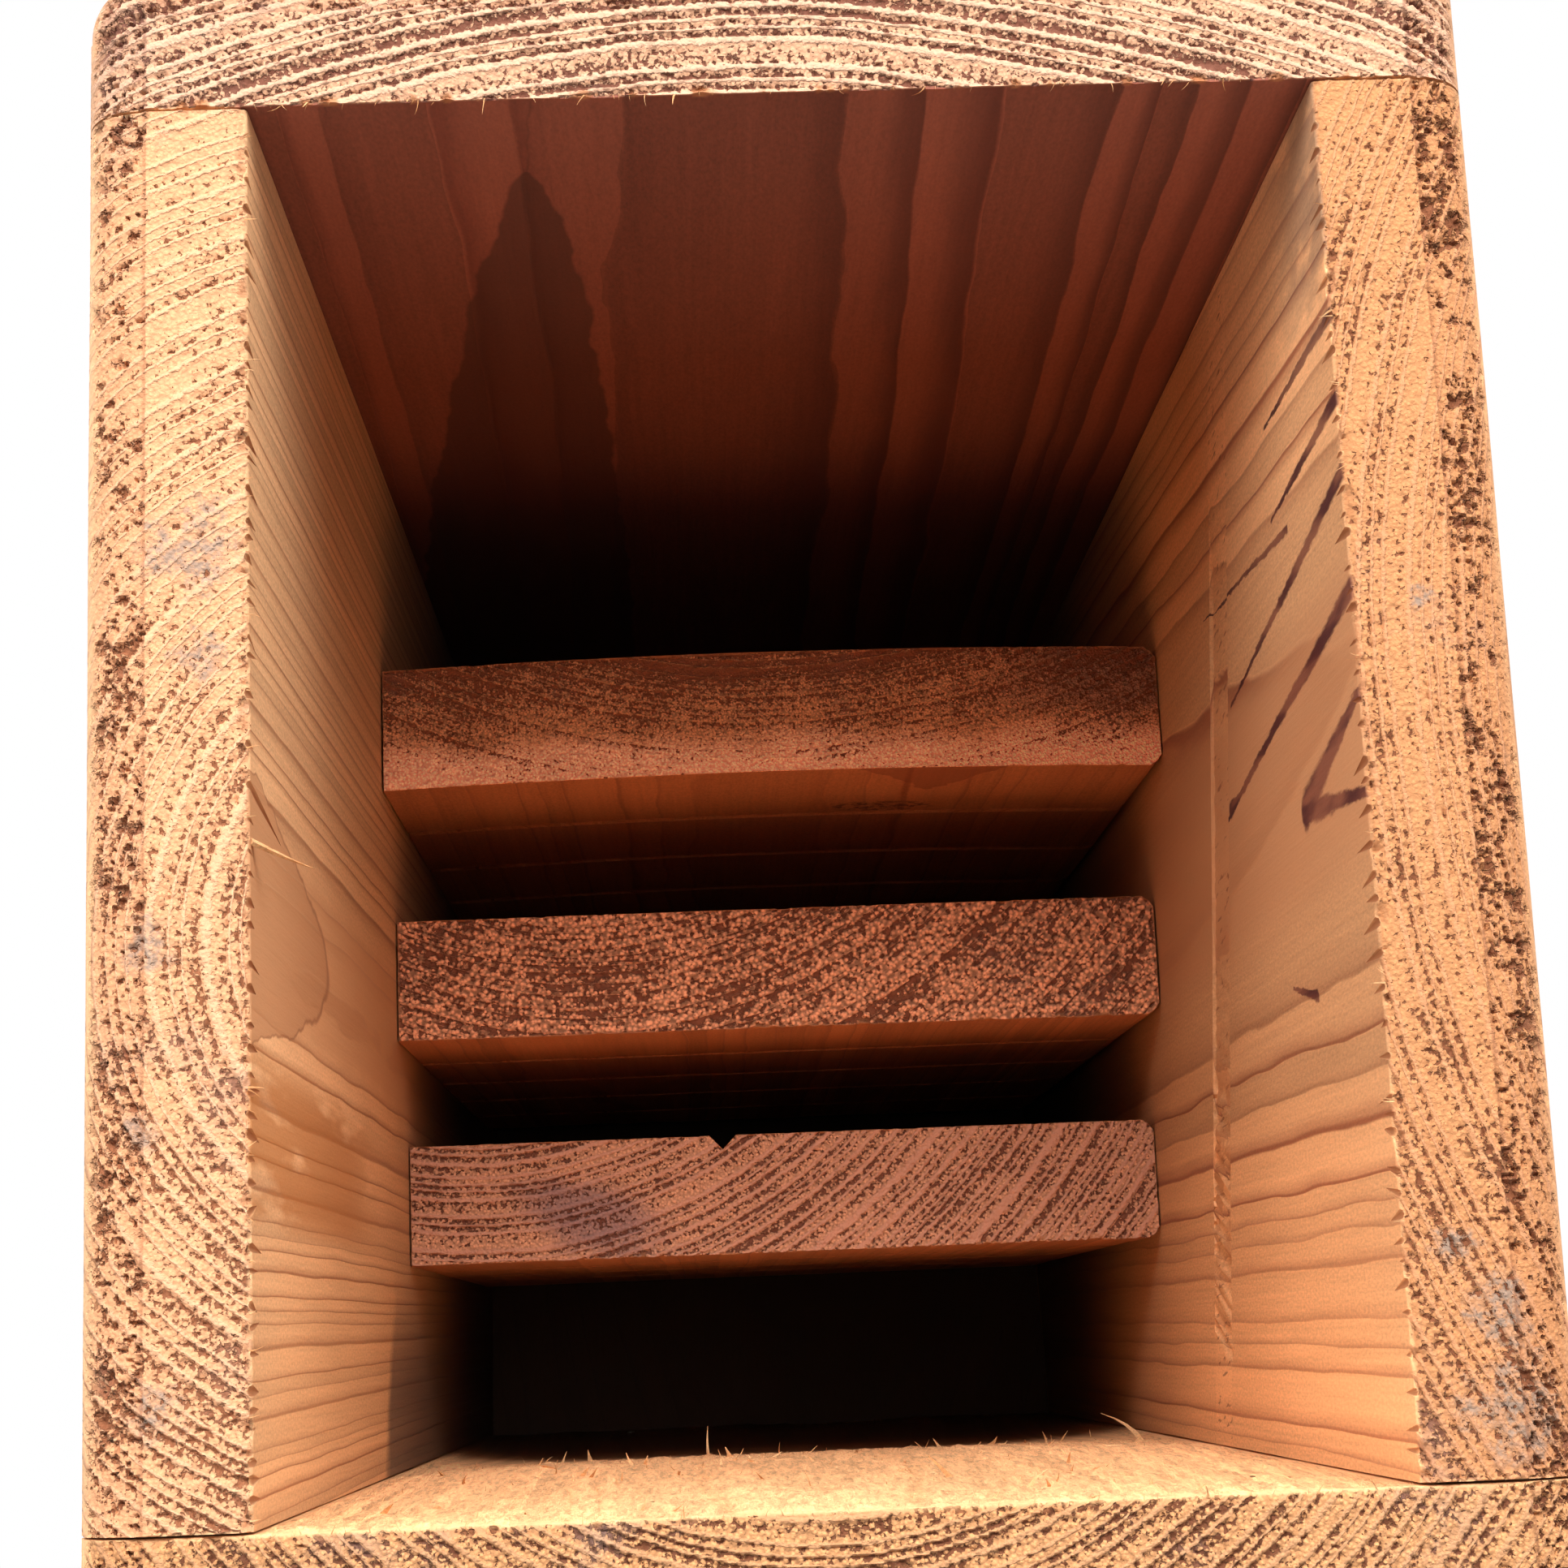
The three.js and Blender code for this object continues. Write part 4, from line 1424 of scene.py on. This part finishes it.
def build_screws():
    steel = steel_material()
    master = screw_mesh()
    for name, (head, into) in SCREW_PLACES.items():
        screw = bpy.data.objects.new(name + "_steel", master.data.copy())
        bpy.context.scene.collection.objects.link(screw)
        turn = Matrix.Rotation(hash_angle(name), 4, "Z")
        screw.matrix_world = screw_matrix(head, into) @ turn
        finish_piece(screw, name, steel, math.radians(35))
    bpy.data.objects.remove(master)


def hash_angle(name):
    """A fixed turn for each screw, so that no two sockets line up."""
    return (sum(ord(c) * (i + 3) for i, c in enumerate(name)) % 90) * math.pi / 180


# ---------------------------------------------------------------- stage

FLOOR_SIZE, FLOOR_DEPTH = 30.0, 1.6


def build_floor():
    """A floor well below the box, clear of the camera that looks up from under it."""
    bpy.ops.mesh.primitive_plane_add(size=FLOOR_SIZE, location=(0, 0, -FLOOR_DEPTH))
    floor = bpy.context.object
    floor.name = "floor"
    material, shader, _ = new_material("pale_floor")
    shader.inputs["Base Color"].default_value = rgb(0.92, 0.92, 0.91)
    shader.inputs["Roughness"].default_value = 0.9
    floor.data.materials.append(material)
    floor.visible_diffuse = False


LAMP_COLOUR = (1.0, 0.98, 0.95)


def softbox(name, place, aim, size, power):
    light = bpy.data.lights.new(name, "AREA")
    light.shape = "RECTANGLE"
    light.size, light.size_y = size
    light.energy = power
    light.color = LAMP_COLOUR
    lamp = bpy.data.objects.new(name, light)
    bpy.context.scene.collection.objects.link(lamp)
    place, aim = Vector(place), Vector(aim)
    lamp.location = place
    lamp.rotation_euler = (aim - place).to_track_quat("-Z", "Y").to_euler()
    lamp.visible_camera = False


SKY = 0.7


def build_world():
    """White where the camera sees it. It lights from above only, so the opening stays dark."""
    world = bpy.data.worlds.new("studio")
    world.use_nodes = True
    tree = world.node_tree
    tree.nodes.clear()
    net = Net(tree)
    _, _, z = net.split(net.add("ShaderNodeTexCoord", output=0))
    strength = net.step(z, -0.1, 0.5, 0.0, SKY)
    sky = net.add("ShaderNodeBackground", {"Color": rgb(1, 1, 1), "Strength": strength})
    seen = net.add("ShaderNodeBackground", {"Color": rgb(1, 1, 1), "Strength": 1.0})
    camera_ray = net.add("ShaderNodeLightPath")
    shown = net.add("ShaderNodeMixShader", {0: camera_ray, 1: sky, 2: seen})
    out = tree.nodes.new("ShaderNodeOutputWorld")
    net.feed(out.inputs[0], shown)
    bpy.context.scene.world = world


LAMP_DISTANCE = 1.5
# Softboxes round the opening: degrees off straight down, bearing (0 is the back, 90 is +X),
# width, power
OPENING_LAMPS = {
    "key": (40, 0, 0.8, 36),
    "right_high": (66, 315, 1.0, 19),
    "left_high": (54, 50, 0.9, 17),
    "left_low": (74, 90, 1.0, 10.5),
    "right_low": (78, 270, 0.9, 7),
    "front_low": (78, 180, 0.9, 9),
    "below": (20, 318, 0.8, 4),
}


# Softboxes for the outside: place, aim, width and height, and power
SKY_LAMPS = {
    "front_sky": ((-0.9, -1.9, 1.6), (0, 0, 0.3), (1.8, 1.4), 34),
    "back_sky": ((1.2, 1.9, 1.5), (0, 0, 0.3), (1.8, 1.4), 30),
    "top_sky": ((0.3, -0.3, 2.4), (0, 0, 0.4), (1.6, 1.6), 16),
}


def build_lights():
    opening = Vector((0, MIDDLE_Y, 0))
    for name, (tilt, bearing, width, power) in OPENING_LAMPS.items():
        tilt, bearing = math.radians(tilt), math.radians(bearing)
        way = Vector((math.sin(tilt) * math.sin(bearing), math.sin(tilt) * math.cos(bearing),
                      -math.cos(tilt)))
        softbox(name, opening + way * LAMP_DISTANCE, opening, (width, width), power)
    for name, values in SKY_LAMPS.items():
        softbox(name, *values)


SENSOR, LENS = 36.0, 66.4
# Where the camera is from the middle of the open end, the way it looks, and which way is up
EYE = Vector((15.1, -70.6, -355.1)) * MM
FORWARD, UPWARD = Vector((-0.0324, 0.1896, 0.9813)), Vector((-0.0340, 0.9811, -0.1907))


def build_camera():
    """The photograph's view: from below and in front of the open end, looking up into it."""
    right = FORWARD.cross(UPWARD)
    camera = bpy.data.objects.new("camera", bpy.data.cameras.new("camera"))
    bpy.context.scene.collection.objects.link(camera)
    turn = Matrix((right, UPWARD, -FORWARD)).transposed().to_4x4()
    camera.matrix_world = Matrix.Translation(Vector(BODY_ORIGIN) + EYE) @ turn
    camera.data.sensor_width = SENSOR
    camera.data.lens = LENS
    camera.data.clip_start = 0.01
    bpy.context.scene.camera = camera


def set_view():
    settings = bpy.context.scene.view_settings
    settings.view_transform = "Standard"
    settings.look = "None"


# ---------------------------------------------------------------- the scene

build_camera()
set_view()
build_world()
build_lights()
build_floor()
build_body()
for place, partition_name in enumerate(PARTITION_NAMES):
    build_partition(partition_name, 40 + 3 * place)
build_roof()
build_screws()
build_fibres()
